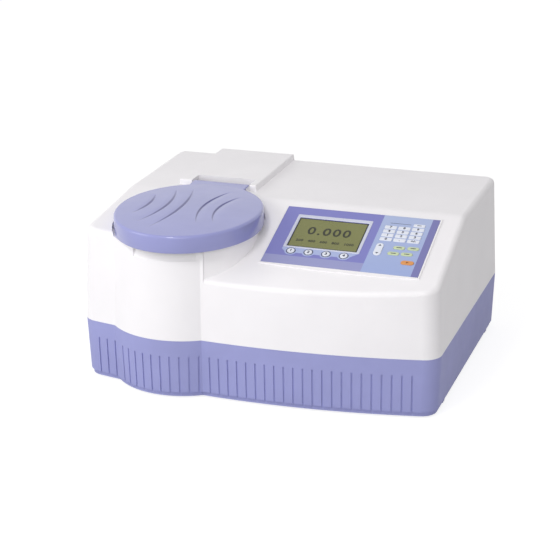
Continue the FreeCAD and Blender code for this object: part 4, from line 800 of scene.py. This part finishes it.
def page_floor():
    """Matt floor that reads as a white page and keeps a faint shadow of the object."""
    material = bpy.data.materials.new("page_floor")
    material.use_nodes = True
    tree = material.node_tree
    tree.nodes.remove(tree.nodes["Principled BSDF"])
    lit = tree.nodes.new("ShaderNodeBsdfDiffuse")
    lit.inputs["Color"].default_value = grey(FLOOR_TONE)
    page = tree.nodes.new("ShaderNodeBsdfDiffuse")
    page.inputs["Color"].default_value = grey(PAGE_TONE)
    glow = tree.nodes.new("ShaderNodeEmission")
    glow.inputs["Color"].default_value = WHITE
    glow.inputs["Strength"].default_value = PAGE_GLOW
    both = tree.nodes.new("ShaderNodeAddShader")
    mix = tree.nodes.new("ShaderNodeMixShader")
    tree.links.new(page.outputs[0], both.inputs[0])
    tree.links.new(glow.outputs[0], both.inputs[1])
    tree.links.new(seen_directly(tree), mix.inputs["Fac"])
    tree.links.new(lit.outputs[0], mix.inputs[1])
    tree.links.new(both.outputs[0], mix.inputs[2])
    tree.links.new(mix.outputs[0], tree.nodes["Material Output"].inputs["Surface"])
    return material


def lay_floor():
    mesh = bpy.data.meshes.new("floor")
    builder = bmesh.new()
    bmesh.ops.create_grid(builder, x_segments=1, y_segments=1, size=FLOOR_HALF)
    builder.to_mesh(mesh)
    builder.free()
    mesh.materials.append(page_floor())
    floor = bpy.data.objects.new("floor", mesh)
    bpy.context.scene.collection.objects.link(floor)


def light_sky():
    """An even sky that lights the object, behind which the camera sees a white page."""
    world = bpy.data.worlds.new("studio")
    bpy.context.scene.world = world
    world.use_nodes = True
    tree = world.node_tree
    sky = tree.nodes["Background"]
    sky.inputs["Color"].default_value = SKY_COLOR
    sky.inputs["Strength"].default_value = SKY_STRENGTH
    page = tree.nodes.new("ShaderNodeBackground")
    page.inputs["Color"].default_value = WHITE
    page.inputs["Strength"].default_value = PAGE_STRENGTH
    blend = tree.nodes.new("ShaderNodeMixShader")
    tree.links.new(seen_directly(tree), blend.inputs["Fac"])
    tree.links.new(sky.outputs["Background"], blend.inputs[1])
    tree.links.new(page.outputs["Background"], blend.inputs[2])
    tree.links.new(blend.outputs["Shader"], tree.nodes["World Output"].inputs["Surface"])


def lamp(name, azimuth, elevation, distance, size, power):
    """A soft square lamp aimed at the object; azimuth is to the right of the front."""
    turn = math.radians(azimuth)
    rise = math.radians(elevation)
    way = Vector((math.sin(turn) * math.cos(rise), -math.cos(turn) * math.cos(rise), math.sin(rise)))
    data = bpy.data.lights.new(name, "AREA")
    data.size = size
    data.energy = power
    thing = bpy.data.objects.new(name, data)
    thing.location = LAMP_AIM + distance * way
    thing.rotation_euler = (-way).to_track_quat("-Z", "Y").to_euler()
    bpy.context.scene.collection.objects.link(thing)


lay_floor()
light_sky()
lamp("left_light", azimuth=-58.0, elevation=24.0, distance=2.0, size=0.9, power=9.8)
lamp("front_light", azimuth=8.0, elevation=18.0, distance=2.3, size=1.2, power=10.5)
lamp("top_light", azimuth=-10.0, elevation=52.0, distance=2.2, size=0.4, power=10.6)

# Camera, solved from the case's corners in the photograph, with its place in metres
CAMERA_PLACE = (0.7565, -2.2835, 0.9970)
CAMERA_AZIMUTH = math.radians(18.76)
CAMERA_ELEVATION = math.radians(20.00)
CAMERA_ROLL = math.radians(-0.41)
SENSOR_WIDTH = 36.0
FOCAL_PIXELS = 1687.3
PICTURE_PIXELS = 560.0


def aim_camera():
    data = bpy.data.cameras.new("camera")
    data.sensor_width = SENSOR_WIDTH
    data.lens = FOCAL_PIXELS / PICTURE_PIXELS * SENSOR_WIDTH
    camera = bpy.data.objects.new("camera", data)
    camera.location = CAMERA_PLACE
    forward = Vector((-math.sin(CAMERA_AZIMUTH) * math.cos(CAMERA_ELEVATION),
                      math.cos(CAMERA_AZIMUTH) * math.cos(CAMERA_ELEVATION),
                      -math.sin(CAMERA_ELEVATION)))
    level = forward.to_track_quat("-Z", "Y").to_matrix()
    camera.rotation_euler = (level @ Matrix.Rotation(CAMERA_ROLL, 3, "Z")).to_euler()
    bpy.context.scene.collection.objects.link(camera)
    bpy.context.scene.camera = camera


aim_camera()
bpy.context.scene.view_settings.view_transform = "Standard"
